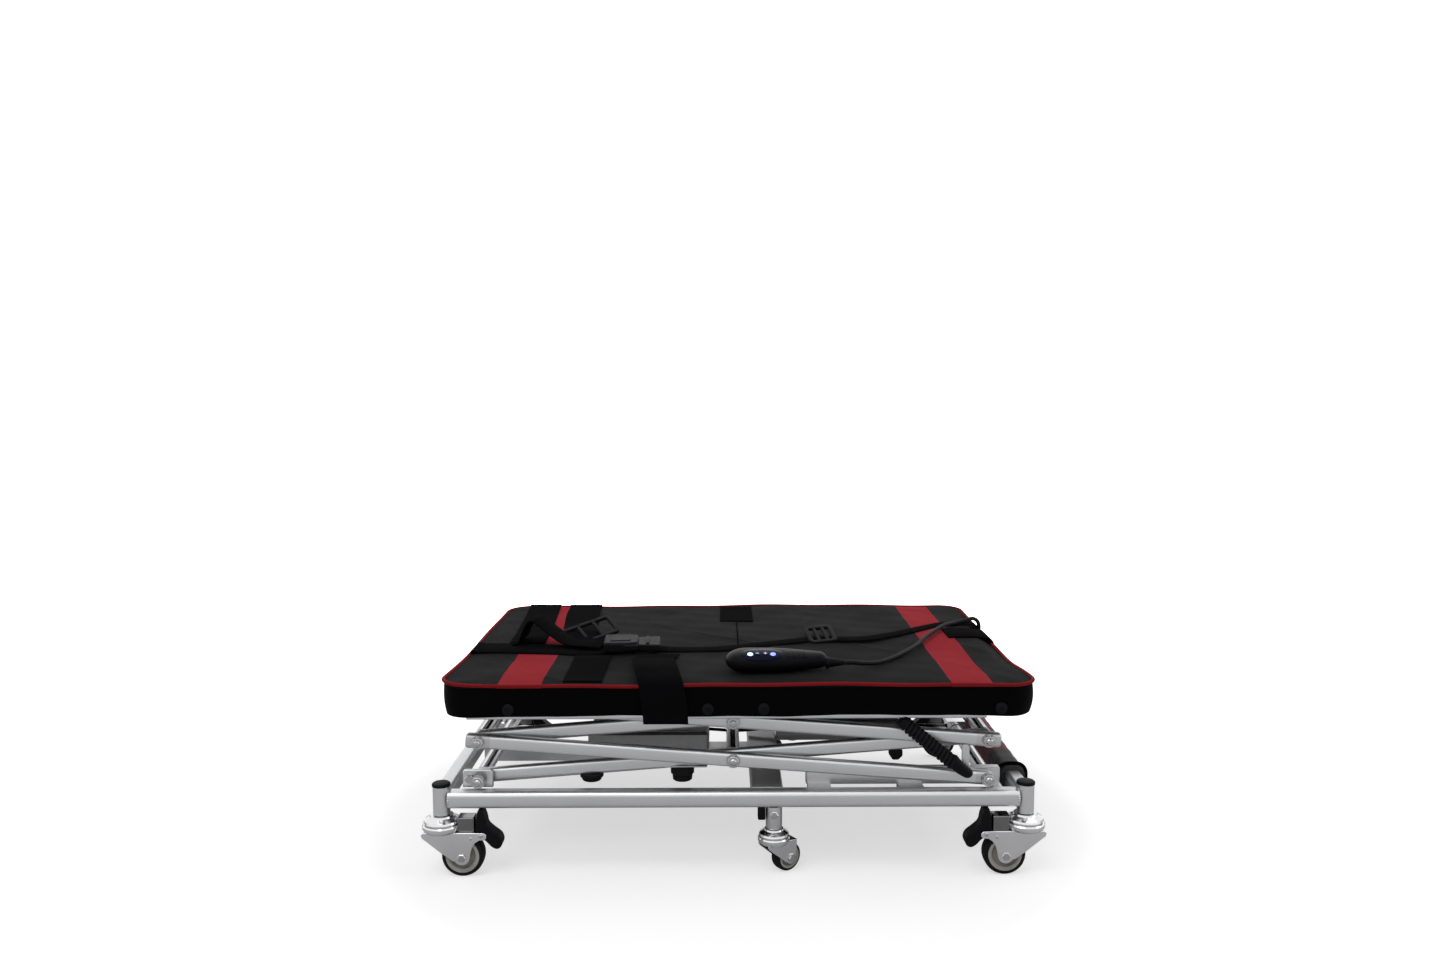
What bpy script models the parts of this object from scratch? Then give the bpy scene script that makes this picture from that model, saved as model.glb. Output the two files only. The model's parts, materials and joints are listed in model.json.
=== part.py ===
"""Powered floor lift: a padded seat platform raised by two stacked scissor stages on a wheeled base.

All driving sizes are millimetres.  They become metres where a mesh is finished, in `publish`.
X runs along the seat, Y away from the user's side, Z up.  The origin is on the floor under the middle.
"""
import math

import bmesh
import bpy
from mathutils import Matrix, Vector

MM = 0.001
GAP = 0.3                      # between pieces that touch

# Base frame
POST_X = 344.0                 # corner post centres
POST_Y = 209.0
POST_RADIUS = 10.0
POST_BOTTOM = 73.3
POST_TOP = 108.0
RAIL_SIZE = 20.0
RAIL_TOP = 102.0
RAIL_BOTTOM = RAIL_TOP - RAIL_SIZE
RAIL_HALF = POST_X - POST_RADIUS - 0.5
RAIL_INNER = POST_Y - RAIL_SIZE / 2

# Scissor stages: every arm has the same pin spacing
PIN_SPAN = 604.0               # horizontal distance between the end pins at rest
STAGE_RISE = 46.8              # height of one stage at rest
BASE_PIN_Z = 109.4
MID_PIN_Z = BASE_PIN_Z + STAGE_RISE
TOP_PIN_Z = MID_PIN_Z + STAGE_RISE
ARM_LENGTH = math.hypot(PIN_SPAN, STAGE_RISE)
ARM_ANGLE = math.atan2(STAGE_RISE, PIN_SPAN)
ARM_DEPTH = 17.0
ARM_WIDTH = 12.0
OUTER_ARM_FACE = 198.4         # |y| of the outer arms' outer face
INNER_ARM_FACE = 183.9
END_OVERHANG = 15.0            # square arm ends run this far past the pin

# Pins and cross shafts
PIN_RADIUS = 5.0
PIN_HOLE = 5.5
OPEN_PIN_HOLE = 5.9            # the pivot where the closed linkage is opened
SHAFT_RADIUS = 8.0
HEAD_RADIUS = 7.0
HEAD_LENGTH = 5.0

# Slide tracks for the lower outer arms' right ends
TRACK_START = 87.0
TRACK_END = 319.0
TRACK_OUTER = 185.7
TRACK_INNER = 173.7
TRACK_BOTTOM = 99.0
TRACK_TOP = 119.0
SLOT_START = 236.0
SLOT_END = 308.6
TRACK_FEET = ((89.0, 116.0), (197.0, 226.0), (309.0, 319.0))

# Platform, cushion and cover
PLATFORM_RAIL_OUTER = 212.0
PLATFORM_RAIL_THICK = 3.0
PLATFORM_LIP_Z = 188.0
BOARD_Z = 213.0
BOARD_THICK = 3.0
PAD_X = (-336.0, 348.0)
PAD_Y = 227.0
PAD_TOP = 233.0
PAD_CORNER = 32.0
SKIRT_BOTTOM = 195.0
SKIRT_THICK = 3.0

# Corner castors, measured from the swivel axis with the wheel trailing towards +X
RACE_RADIUS = 23.0
RACE_TOP = 73.0
WHEEL_RADIUS = 25.0
WHEEL_WIDTH = 18.0
TRAIL = 25.0
CHEEK_INNER = 10.4
CHEEK_OUTER = 13.0
AXLE_RADIUS = 4.0
AXLE_HOLE = 4.6
PEDAL_PIVOT = (48.0, 52.0)
PEDAL_HALF = 9.8

# Middle castors
MID_CASTOR_X = 47.6
MID_RACE_RADIUS = 19.0
MID_RACE_TOP = 55.0
MID_WHEEL_RADIUS = 17.5
MID_WHEEL_WIDTH = 14.0
MID_TRAIL = 18.0
MID_SWIVEL = 35.0              # rest angle in degrees

# Lift drive
CARRIAGE_X = PIN_SPAN / 2
DRIVE_RADIUS = 15.0
ROD_RADIUS = 6.0
ROD_BORE = 6.7
CROSS_MEMBER_X = (21.0, 59.0)

# Hand control
HANDSET_CENTRE = (52.0, -168.0)
HANDSET_LENGTH = 122.0
HANDSET_WIDTH = 50.0
HANDSET_BOTTOM = PAD_TOP + GAP
HANDSET_TOP = 260.0
KEY_RADIUS = 4.5
KEY_X = {"key_down": 28.0, "key_up": 40.0}

# Webbing
WEBBING_WIDTH = 50.0
WEBBING_THICK = 2.0

FINISHES = {
    "aluminium": ((0.60, 0.61, 0.63), 0.35, 1.0),
    "chrome": ((0.72, 0.73, 0.75), 0.18, 1.0),
    "zinc": ((0.50, 0.51, 0.53), 0.40, 1.0),
    "tyre": ((0.02, 0.02, 0.022), 0.65, 0.0),
    "black_plastic": ((0.015, 0.015, 0.017), 0.45, 0.0),
    "control_plastic": ((0.020, 0.020, 0.023), 0.40, 0.0),
    "cover_fabric": ((0.025, 0.026, 0.030), 0.75, 0.0),
    "grip_fabric": ((0.16, 0.012, 0.018), 0.80, 0.0),
    "webbing": ((0.018, 0.018, 0.020), 0.80, 0.0),
    "lead_rubber": ((0.012, 0.012, 0.013), 0.50, 0.0),
    "board": ((0.45, 0.45, 0.46), 0.50, 0.6),
}


# ---------------------------------------------------------------- helpers

def finish_material(slot):
    """The material of one finish, made on first use."""
    found = bpy.data.materials.get(slot)
    if found:
        return found
    colour, roughness, metallic = FINISHES[slot]
    made = bpy.data.materials.new(slot)
    made.use_nodes = True
    shader = made.node_tree.nodes["Principled BSDF"]
    shader.inputs["Base Color"].default_value = (*colour, 1.0)
    shader.inputs["Roughness"].default_value = roughness
    shader.inputs["Metallic"].default_value = metallic
    return made


def box(low, high, chamfer=0.0):
    """A block between two corners, with its edges chamfered if asked."""
    shape = bmesh.new()
    size = [b - a for a, b in zip(low, high)]
    centre = [(a + b) / 2 for a, b in zip(low, high)]
    bmesh.ops.create_cube(shape, size=1.0)
    bmesh.ops.scale(shape, vec=size, verts=shape.verts)
    bmesh.ops.translate(shape, vec=centre, verts=shape.verts)
    if chamfer:
        bmesh.ops.bevel(shape, geom=shape.edges[:], offset=chamfer, segments=1, affect='EDGES')
    return shape


def prism(outline, start, end, axis="Y"):
    """A flat outline pushed along an axis: (x, z) outlines along Y, (x, y) outlines along Z."""
    shape = bmesh.new()
    if axis == "Y":
        ring = [shape.verts.new((x, start, z)) for x, z in outline]
        push = (0.0, end - start, 0.0)
    else:
        ring = [shape.verts.new((x, y, start)) for x, y in outline]
        push = (0.0, 0.0, end - start)
    face = shape.faces.new(ring)
    moved = bmesh.ops.extrude_face_region(shape, geom=[face])["geom"]
    top = [item for item in moved if isinstance(item, bmesh.types.BMVert)]
    bmesh.ops.translate(shape, vec=push, verts=top)
    bmesh.ops.recalc_face_normals(shape, faces=shape.faces)
    return shape


def turned(stations, axis, centre, sides=24, phase=0.0):
    """A solid of revolution: stations are (distance along the axis, radius)."""
    shape = bmesh.new()
    rings = []
    for along, radius in stations:
        ring = []
        for step in range(sides):
            angle = phase + 2 * math.pi * step / sides
            a, b = radius * math.cos(angle), radius * math.sin(angle)
            place = {"X": (along, a, b), "Y": (a, along, b), "Z": (a, b, along)}[axis]
            ring.append(shape.verts.new(Vector(place) + Vector(centre)))
        rings.append(ring)
    for low, high in zip(rings, rings[1:]):
        for i in range(sides):
            j = (i + 1) % sides
            shape.faces.new((low[i], low[j], high[j], high[i]))
    shape.faces.new(rings[0])
    shape.faces.new(rings[-1])
    bmesh.ops.recalc_face_normals(shape, faces=shape.faces)
    return shape


def cylinder(axis, centre, radius, start, end, sides=16, phase=0.0):
    return turned([(start, radius), (end, radius)], axis, centre, sides, phase)


def arc(centre, radius, first, last, steps):
    """Points on an arc, angles in degrees."""
    angles = [math.radians(first + (last - first) * i / steps) for i in range(steps + 1)]
    return [(centre[0] + radius * math.cos(a), centre[1] + radius * math.sin(a)) for a in angles]


def rounded_rectangle(x0, x1, y0, y1, radius, steps=6):
    points = []
    points += arc((x1 - radius, y1 - radius), radius, 0, 90, steps)
    points += arc((x0 + radius, y1 - radius), radius, 90, 180, steps)
    points += arc((x0 + radius, y0 + radius), radius, 180, 270, steps)
    points += arc((x1 - radius, y0 + radius), radius, 270, 360, steps)
    return points


def scratch_object(shape):
    mesh = bpy.data.meshes.new("scratch")
    shape.to_mesh(mesh)
    shape.free()
    made = bpy.data.objects.new("scratch", mesh)
    bpy.context.scene.collection.objects.link(made)
    return made


def combine(base, joined=(), cut=()):
    """Boolean union with `joined`, then difference with `cut`; returns one new bmesh."""
    body = scratch_object(base)
    tools = []
    for operation, shapes in (("UNION", joined), ("DIFFERENCE", cut)):
        for shape in shapes:
            tool = scratch_object(shape)
            tool.hide_render = True
            tool.display_type = 'WIRE'
            step = body.modifiers.new(operation, 'BOOLEAN')
            step.operation = operation
            step.solver = 'EXACT'
            step.object = tool
            tools.append(tool)
    graph = bpy.context.evaluated_depsgraph_get()
    graph.update()
    result = bmesh.new()
    result.from_mesh(body.evaluated_get(graph).to_mesh())
    for used in [body] + tools:
        bpy.data.objects.remove(used, do_unlink=True)
    bmesh.ops.remove_doubles(result, verts=result.verts, dist=0.001)
    bmesh.ops.dissolve_limit(result, angle_limit=math.radians(0.2), verts=result.verts, edges=result.edges)
    return result


def publish(shape, name, finish, pivot=(0.0, 0.0, 0.0), place=None):
    """Make the named object from a bmesh in millimetres, its origin on its joint's axis."""
    if place is not None:
        shape.transform(place)
    bmesh.ops.translate(shape, vec=-Vector(pivot), verts=shape.verts)
    bmesh.ops.scale(shape, vec=(MM, MM, MM), verts=shape.verts)
    bmesh.ops.triangulate(shape, faces=shape.faces)
    mesh = bpy.data.meshes.new(name)
    shape.to_mesh(mesh)
    shape.free()
    mesh.shade_smooth()
    mesh.set_sharp_from_angle(angle=math.radians(35))
    mesh.materials.append(finish_material(finish))
    made = bpy.data.objects.new(name, mesh)
    made.location = Vector(pivot) * MM
    bpy.context.scene.collection.objects.link(made)
    return made


def sides_of(name):
    """The near (-Y) and far (+Y) copy of a piece: its name and the sign of y."""
    return ((name + "_near", -1), (name + "_far", 1))


def between(side, inner, outer):
    """The y range of a piece that lies between two distances from the middle plane."""
    return (inner, outer) if side > 0 else (-outer, -inner)


def smooth_route(points, spacing):
    """Points every `spacing` along a Catmull-Rom curve through hand-chosen ones."""
    ends = [points[0] * 2 - points[1]] + points + [points[-1] * 2 - points[-2]]
    dense = []
    for a, b, c, d in zip(ends, ends[1:], ends[2:], ends[3:]):
        for step in range(24):
            t = step / 24
            dense.append(0.5 * (2 * b + (c - a) * t + (2 * a - 5 * b + 4 * c - d) * t * t
                                + (3 * b - a - 3 * c + d) * t ** 3))
    dense.append(points[-1])
    total = sum((q - p).length for p, q in zip(dense, dense[1:]))
    count = max(2, round(total / spacing))
    route, travelled, wanted = [dense[0]], 0.0, total / count
    for p, q in zip(dense, dense[1:]):
        length = (q - p).length
        while length and travelled + length >= wanted - 1e-6 and len(route) < count:
            route.append(p.lerp(q, (wanted - travelled) / length))
            wanted += total / count
        travelled += length
    route.append(dense[-1])
    return route


def cord(name, points, diameter, finish, spacing, resolution):
    """A curve with a round bevel and filled caps, on a smooth route."""
    curve = bpy.data.curves.new(name, 'CURVE')
    curve.dimensions = '3D'
    curve.bevel_depth = diameter / 2 * MM
    curve.bevel_resolution = resolution
    curve.use_fill_caps = True
    route = smooth_route([Vector(p) for p in points], spacing)
    spline = curve.splines.new('POLY')
    spline.points.add(len(route) - 1)
    for target, point in zip(spline.points, route):
        target.co = (*(point * MM), 1.0)
    curve.materials.append(finish_material(finish))
    made = bpy.data.objects.new(name, curve)
    bpy.context.scene.collection.objects.link(made)
    return made


def ribbon(stations, across, width, thickness):
    """A flat strap: each station is (centre of its inner face, direction out of that face)."""
    shape = bmesh.new()
    rings = []
    half = Vector(across) * (width / 2)
    for centre, outward in stations:
        lift = Vector(outward).normalized() * thickness
        corners = (-half, half, half + lift, lift - half)
        rings.append([shape.verts.new(Vector(centre) + corner) for corner in corners])
    for low, high in zip(rings, rings[1:]):
        for i in range(4):
            j = (i + 1) % 4
            shape.faces.new((low[i], low[j], high[j], high[i]))
    shape.faces.new(rings[0])
    shape.faces.new(rings[-1])
    bmesh.ops.recalc_face_normals(shape, faces=shape.faces)
    return shape


# ---------------------------------------------------------------- base

def base_rails():
    """Side rails with the left pivot bracket and the middle castor's stub welded on."""
    for name, side in sides_of("base_rail"):
        y0, y1 = between(side, RAIL_INNER, RAIL_INNER + RAIL_SIZE)
        rail = box((-RAIL_HALF, y0, RAIL_BOTTOM), (RAIL_HALF, y1, RAIL_TOP), 1.5)
        b0, b1 = between(side, 188.5, RAIL_INNER + 1.5)
        bracket = box((-322.0, b0, 86.0), (-286.0, b1, 121.0))
        stub = cylinder("Z", (MID_CASTOR_X, side * POST_Y, 0), 9.5, MID_RACE_TOP + GAP, RAIL_BOTTOM + 2, 20)
        hole = cylinder("Y", (-CARRIAGE_X, 0, BASE_PIN_Z), PIN_HOLE, side * 180.0, side * 205.0)
        publish(combine(rail, (bracket, stub), (hole,)), name, "aluminium")


def base_ends():
    """End tubes between the corner posts, welded to them."""
    for name, x in (("base_end_left", -POST_X), ("base_end_right", POST_X)):
        tube = box((x - 10, -POST_Y, RAIL_BOTTOM), (x + 10, POST_Y, RAIL_TOP), 1.5)
        posts = [cylinder("Z", (x, y, 0), POST_RADIUS, POST_BOTTOM, POST_TOP, 24) for y in (-POST_Y, POST_Y)]
        publish(combine(tube, posts), name, "aluminium")


def base_middle():
    """The welded cross member and centre beam, and the battery box they carry."""
    x0, x1 = CROSS_MEMBER_X
    y = RAIL_INNER - GAP
    cross = box((x0, -y, RAIL_BOTTOM), (x1, y, 100.0), 1.5)
    beam = box((-POST_X + 10 + GAP, -12.0, 70.0), (x0 + 4, 12.0, 88.0))
    publish(combine(cross, (beam,)), "base_beam", "aluminium")
    publish(box((-191.0, -38.0, 88.3), (-31.0, 38.0, 116.0), 3.0), "battery_box", "black_plastic")


def slide_tracks():
    """Slotted bars on the base that guide the sliding cross shaft."""
    for name, side in sides_of("slide_track"):
        y0, y1 = between(side, TRACK_INNER, TRACK_OUTER)
        bar = box((TRACK_START, y0, TRACK_BOTTOM), (TRACK_END, y1, TRACK_TOP), 1.0)
        f0, f1 = between(side, TRACK_INNER + 1, RAIL_INNER - GAP)
        feet = [box((a, f0, 84.0), (b, f1, TRACK_BOTTOM + 1.4)) for a, b in TRACK_FEET]
        half = PIN_HOLE
        slot = box((SLOT_START, y0 - 3, BASE_PIN_Z - half), (SLOT_END, y1 + 3, BASE_PIN_Z + half))
        publish(combine(bar, feet, (slot,)), name, "aluminium")


def grip_sleeve():
    """The padded wrap round the right end tube, where the lift is carried."""
    outer = prism(rounded_rectangle(POST_X - 16, POST_X + 16, 76.0, 108.0, 9.0, 3), -148.0, 148.0)
    inner = box((POST_X - 10.4, -150, RAIL_BOTTOM - 0.4), (POST_X + 10.4, 150, RAIL_TOP + 0.4))
    publish(combine(outer, (), (inner,)), "grip_sleeve", "grip_fabric")


# ---------------------------------------------------------------- castors

def castor_place(x, y, angle):
    return Matrix.Translation((x, y, 0)) @ Matrix.Rotation(math.radians(angle), 4, 'Z')


def castor_wheel(name, place, radius, width, trail):
    """Tyre, rim and hub as one turned solid with a bore for the axle."""
    half = width / 2
    stations = [(-half, radius - 7), (-half + 1.5, radius - 2), (-half + 4, radius),
                (half - 4, radius), (half - 1.5, radius - 2), (half, radius - 7)]
    wheel = turned(stations, "Y", (trail, 0, radius), 28, math.pi / 2)
    bore = cylinder("Y", (trail, 0, radius), AXLE_HOLE, -half - 2, half + 2)
    pivot = place @ Vector((trail, 0, radius))
    publish(combine(wheel, (), (bore,)), name, "tyre", pivot, place)


def cheek_pair(outline, inner, outer):
    return [prism(outline, *between(side, inner, outer)) for side in (-1, 1)]


def corner_fork(name, place):
    """Swivel race, crown plate, two cheeks, axle, pedal pin and brake housing."""
    race = turned([(54.0, 21.0), (58.0, RACE_RADIUS), (64.0, RACE_RADIUS), (66.5, 20.0), (RACE_TOP, 17.0)],
                  "Z", (0, 0, 0), 28)
    crown = box((-20.5, -CHEEK_OUTER, 51.2), (40.3, CHEEK_OUTER, 55.0))
    outline = [(-21.0, 54.0), (-21.0, 48.0), (16.0, 20.5)]
    outline += arc((TRAIL, WHEEL_RADIUS), 9.5, 215, 360, 6)
    outline += [(37.5, 37.0), (42.0, 43.0), (49.0, 46.5)]
    outline += arc((50.0, 50.5), 4.0, -70, 90, 4)
    cheeks = cheek_pair(outline, CHEEK_INNER, CHEEK_OUTER)
    axle = cylinder("Y", (TRAIL, 0, WHEEL_RADIUS), AXLE_RADIUS, -15.0, 15.0)
    pedal_pin = cylinder("Y", (PEDAL_PIVOT[0], 0, PEDAL_PIVOT[1]), 2.0, -13.6, 13.6, 12)
    housing = box((19.0, -9.0, 54.0), (40.0, 9.0, 72.0))
    parts = [crown] + cheeks + [axle, pedal_pin, housing]
    publish(combine(race, parts), name, "chrome", place @ Vector((0, 0, 0)), place)


def brake_pedal(name, place):
    """Two-lobed foot pedal that locks the wheel."""
    outline = [(43.5, 79.0), (46.0, 81.0), (49.0, 79.5), (52.5, 71.0), (54.5, 62.0), (61.0, 55.5),
               (69.0, 49.0), (72.0, 42.0), (70.0, 35.5), (65.0, 33.5), (59.0, 36.5), (51.5, 44.0),
               (44.0, 45.5), (41.0, 51.0), (41.0, 62.0), (42.0, 72.0)]
    pedal = prism(outline, -PEDAL_HALF, PEDAL_HALF)
    hole = cylinder("Y", (PEDAL_PIVOT[0], 0, PEDAL_PIVOT[1]), 2.6, -12, 12, 12)
    pivot = place @ Vector((PEDAL_PIVOT[0], 0, PEDAL_PIVOT[1]))
    publish(combine(pedal, (), (hole,)), name, "black_plastic", pivot, place)


def corner_castors():
    for side_name, y in (("near", -POST_Y), ("far", POST_Y)):
        for end_name, x, angle in (("left", -POST_X, 0), ("right", POST_X, 180)):
            tail = "_" + side_name + "_" + end_name
            place = castor_place(x, y, angle)
            corner_fork("castor_fork" + tail, place)
            castor_wheel("castor_wheel" + tail, place, WHEEL_RADIUS, WHEEL_WIDTH, TRAIL)
            brake_pedal("brake_pedal" + tail, place)


def middle_castors():
    for name, side in sides_of("middle_fork"):
        place = castor_place(MID_CASTOR_X, side * POST_Y, -side * MID_SWIVEL)
        race = turned([(37.5, 17.5), (41.0, MID_RACE_RADIUS), (47.0, MID_RACE_RADIUS), (49.5, 16.0),
                       (MID_RACE_TOP, 13.0)], "Z", (0, 0, 0), 24)
        crown = box((-14.0, -10.6, 36.6), (25.0, 10.6, 39.0))
        outline = [(-15.0, 39.0), (-14.0, 34.0), (11.5, 13.0)]
        outline += arc((MID_TRAIL, MID_WHEEL_RADIUS), 7.5, 215, 360, 5)
        outline += [(26.5, 39.0)]
        cheeks = cheek_pair(outline, 8.2, 10.6)
        axle = cylinder("Y", (MID_TRAIL, 0, MID_WHEEL_RADIUS), AXLE_RADIUS, -12.4, 12.4)
        pivot = place @ Vector((0, 0, 0))
        publish(combine(race, [crown] + cheeks + [axle]), name, "chrome", pivot, place)
        wheel_name = name.replace("fork", "wheel")
        castor_wheel(wheel_name, place, MID_WHEEL_RADIUS, MID_WHEEL_WIDTH, MID_TRAIL)


# ---------------------------------------------------------------- scissor stages

def arm_shape(round_start, round_end, holes):
    """A bar along +X from pin 0 to the far pin, with pin holes given as (position, radius)."""
    half = ARM_DEPTH / 2
    start = arc((0, 0), half, 90, 270, 8) if round_start else [(-END_OVERHANG, half), (-END_OVERHANG, -half)]
    end_x = ARM_LENGTH
    if round_end:
        end = arc((end_x, 0), half, -90, 90, 8)
    else:
        end = [(end_x + END_OVERHANG, -half), (end_x + END_OVERHANG, half)]
    bar = prism(start + end, 0.0, ARM_WIDTH)
    bores = [cylinder("Y", (x, 0, 0), radius, -5.0, ARM_WIDTH + 5) for x, radius in holes]
    return combine(bar, (), bores)


def arm(name, side, face, start_pin, slope, round_ends, holes, pivot):
    """Lay a bar between its pins: it starts at start_pin and climbs by slope radians."""
    y0, _ = between(side, face - ARM_WIDTH, face)
    place = Matrix.Translation((start_pin[0], y0, start_pin[1])) @ Matrix.Rotation(-slope, 4, 'Y')
    shape = arm_shape(round_ends[0], round_ends[1], holes)
    publish(shape, name, "aluminium", (pivot[0], 0, pivot[1]), place)


def scissor_arms():
    """Two crossed pairs a side: outer bars fall to the right, inner bars climb to the right."""
    left, right = -PIN_SPAN / 2, PIN_SPAN / 2
    middle = ARM_LENGTH / 2
    fitted = [(0, PIN_HOLE), (middle, PIN_HOLE), (ARM_LENGTH, PIN_HOLE)]
    opened = [(0, OPEN_PIN_HOLE), (middle, PIN_HOLE), (ARM_LENGTH, PIN_HOLE)]
    lower_centre = (0, (BASE_PIN_Z + MID_PIN_Z) / 2)
    upper_centre = (0, (MID_PIN_Z + TOP_PIN_Z) / 2)
    for word, side in (("near", -1), ("far", 1)):
        arm("arm_lower_inner_" + word, side, INNER_ARM_FACE, (left, BASE_PIN_Z), ARM_ANGLE,
            (True, True), fitted, (left, BASE_PIN_Z))
        arm("arm_lower_outer_" + word, side, OUTER_ARM_FACE, (left, MID_PIN_Z), -ARM_ANGLE,
            (False, True), fitted, lower_centre)
        arm("arm_upper_outer_" + word, side, OUTER_ARM_FACE, (left, TOP_PIN_Z), -ARM_ANGLE,
            (True, False), fitted, (right, MID_PIN_Z))
        arm("arm_upper_inner_" + word, side, INNER_ARM_FACE, (left, MID_PIN_Z), ARM_ANGLE,
            (True, True), opened, upper_centre)


def cross_shaft(name, x, z, pin_end, tube_end, head=True):
    """A pin across the lift, thicker between the arms, with a head at each end."""
    stations = [(-tube_end, SHAFT_RADIUS), (tube_end, SHAFT_RADIUS)]
    tube = turned(stations, "Y", (x, 0, z), 16)
    pin = turned([(-pin_end, PIN_RADIUS), (pin_end, PIN_RADIUS)], "Y", (x, 0, z), 16)
    parts = [pin]
    if head:
        for side in (-1, 1):
            start = side * (pin_end - 1)
            parts.append(cylinder("Y", (x, 0, z), HEAD_RADIUS, start, side * (pin_end + HEAD_LENGTH), 12))
    publish(combine(tube, parts), name, "zinc", (x, 0, z))


def cross_shafts():
    left, right = -PIN_SPAN / 2, PIN_SPAN / 2
    lower, upper = (BASE_PIN_Z + MID_PIN_Z) / 2, (MID_PIN_Z + TOP_PIN_Z) / 2
    outside = OUTER_ARM_FACE + GAP + 1
    tube = INNER_ARM_FACE - ARM_WIDTH - GAP
    cross_shaft("shaft_base_left", left, BASE_PIN_Z, RAIL_INNER + 2.8, tube)
    cross_shaft("shaft_lower_centre", 0, lower, outside, tube)
    cross_shaft("shaft_middle_left", left, MID_PIN_Z, outside, tube)
    cross_shaft("shaft_middle_right", right, MID_PIN_Z, outside, tube)
    cross_shaft("shaft_upper_centre", 0, upper, outside, tube)
    web = PLATFORM_RAIL_OUTER - PLATFORM_RAIL_THICK
    cross_shaft("shaft_top_left", left, TOP_PIN_Z, web - GAP, tube, head=False)
    cross_shaft("shaft_top_slide", right, TOP_PIN_Z, OUTER_ARM_FACE, tube, head=False)
    cross_shaft("shaft_base_slide", right, BASE_PIN_Z, outside, tube)


def lift_drive():
    """Linear actuator on the base and the rod that pulls the sliding shaft."""
    x0 = CROSS_MEMBER_X[1] + GAP
    barrel = cylinder("X", (0, 0, BASE_PIN_Z), DRIVE_RADIUS, x0, 225.0, 20)
    motor = cylinder("Y", (82.0, 0, BASE_PIN_Z), 17.0, 0.0, 74.0, 20)
    bore = cylinder("X", (0, 0, BASE_PIN_Z), ROD_BORE, 145.0, 230.0, 20)
    publish(combine(barrel, (motor,), (bore,)), "actuator", "black_plastic")
    rod = cylinder("X", (0, 0, BASE_PIN_Z), ROD_RADIUS, 205.0, 296.0, 16)
    block = box((CARRIAGE_X - 12, -10.0, BASE_PIN_Z - 12), (CARRIAGE_X + 12, 10.0, BASE_PIN_Z + 12))
    eye = cylinder("Y", (CARRIAGE_X, 0, BASE_PIN_Z), SHAFT_RADIUS + 0.6, -14.0, 14.0)
    pivot = (CARRIAGE_X, 0, BASE_PIN_Z)
    publish(combine(rod, (block,), (eye,)), "actuator_rod", "chrome", pivot)


# ---------------------------------------------------------------- platform

def platform():
    pivot = (-PIN_SPAN / 2, 0, TOP_PIN_Z)
    for name, side in sides_of("platform_rail"):
        web_inner = PLATFORM_RAIL_OUTER - PLATFORM_RAIL_THICK
        y0, y1 = between(side, web_inner, PLATFORM_RAIL_OUTER)
        web = box((-312.0, y0, PLATFORM_LIP_Z), (296.0, y1, BOARD_Z - GAP))
        l0, l1 = between(side, OUTER_ARM_FACE - ARM_WIDTH, web_inner + 1)
        ledge = box((230.0, l0, TOP_PIN_Z + PIN_RADIUS + 0.4), (318.0, l1, BOARD_Z - GAP))
        publish(combine(web, (ledge,)), name, "aluminium", pivot)
    board = prism(rounded_rectangle(PAD_X[0] + 12, PAD_X[1] - 12, -PAD_Y + 6, PAD_Y - 6, 26.0, 4),
                  BOARD_Z, BOARD_Z + BOARD_THICK, "Z")
    publish(board, "seat_board", "board", pivot)
    cushion_bottom = BOARD_Z + BOARD_THICK + GAP
    outline = rounded_rectangle(PAD_X[0], PAD_X[1], -PAD_Y, PAD_Y, PAD_CORNER, 8)
    publish(prism(outline, cushion_bottom, PAD_TOP, "Z"), "seat_cushion", "cover_fabric", pivot)


def cover_skirts():
    """The four sides of the cover, hanging below the cushion."""
    top = BOARD_Z + BOARD_THICK
    x0, x1 = PAD_X
    pivot = (-PIN_SPAN / 2, 0, TOP_PIN_Z)
    for name, side in sides_of("cover_skirt"):
        y0, y1 = between(side, PAD_Y - SKIRT_THICK, PAD_Y)
        wall = box((x0 + PAD_CORNER, y0, SKIRT_BOTTOM), (x1 - PAD_CORNER, y1, top))
        publish(wall, name, "cover_fabric", pivot)
    inset = PAD_Y - PAD_CORNER
    publish(box((x0, -inset, SKIRT_BOTTOM), (x0 + SKIRT_THICK, inset, top)), "cover_skirt_left",
            "cover_fabric", pivot)
    publish(box((x1 - SKIRT_THICK, -inset, SKIRT_BOTTOM), (x1, inset, top)), "cover_skirt_right",
            "cover_fabric", pivot)


def webbing():
    """The seat belt along the cushion, over both ends, and the strap over the near edge."""
    pivot = (-PIN_SPAN / 2, 0, TOP_PIN_Z)
    x0, x1 = PAD_X
    z = PAD_TOP + GAP
    up, left, right, near = (0, 0, 1), (-1, 0, 0), (1, 0, 0), (0, -1, 0)
    left_edge, right_edge, near_edge = x0 - 0.4, x1 + 0.4, -PAD_Y - 0.4
    belt = [((left_edge, -48, 205.0), left), ((left_edge, -50, 228.0), left), ((left_edge, -51, z), (-1, 0, 1)),
            ((x0 + 6, -52, z), up), ((-180.0, -58, z), up), ((0.0, -60, z), up), ((110.0, -34, z), up),
            ((200.0, 0, z), up), ((290.0, 30, z), up), ((x1 - 6, 40, z), up),
            ((right_edge, 41, z), (1, 0, 1)), ((right_edge, 42, 228.0), right), ((right_edge, 42, 204.0), right)]
    publish(ribbon(belt, (0, 1, 0), WEBBING_WIDTH, WEBBING_THICK), "seat_belt", "webbing", pivot)
    strap = [((-88.0, -128.0, z), up), ((-82.0, -PAD_Y + 6, z), up), ((-81.0, near_edge, z), (0, -1, 1)),
             ((-80.0, near_edge, 228.0), near), ((-79.0, near_edge, 186.0), near)]
    publish(ribbon(strap, (1, 0, 0), WEBBING_WIDTH, WEBBING_THICK), "edge_strap", "webbing", pivot)


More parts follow.
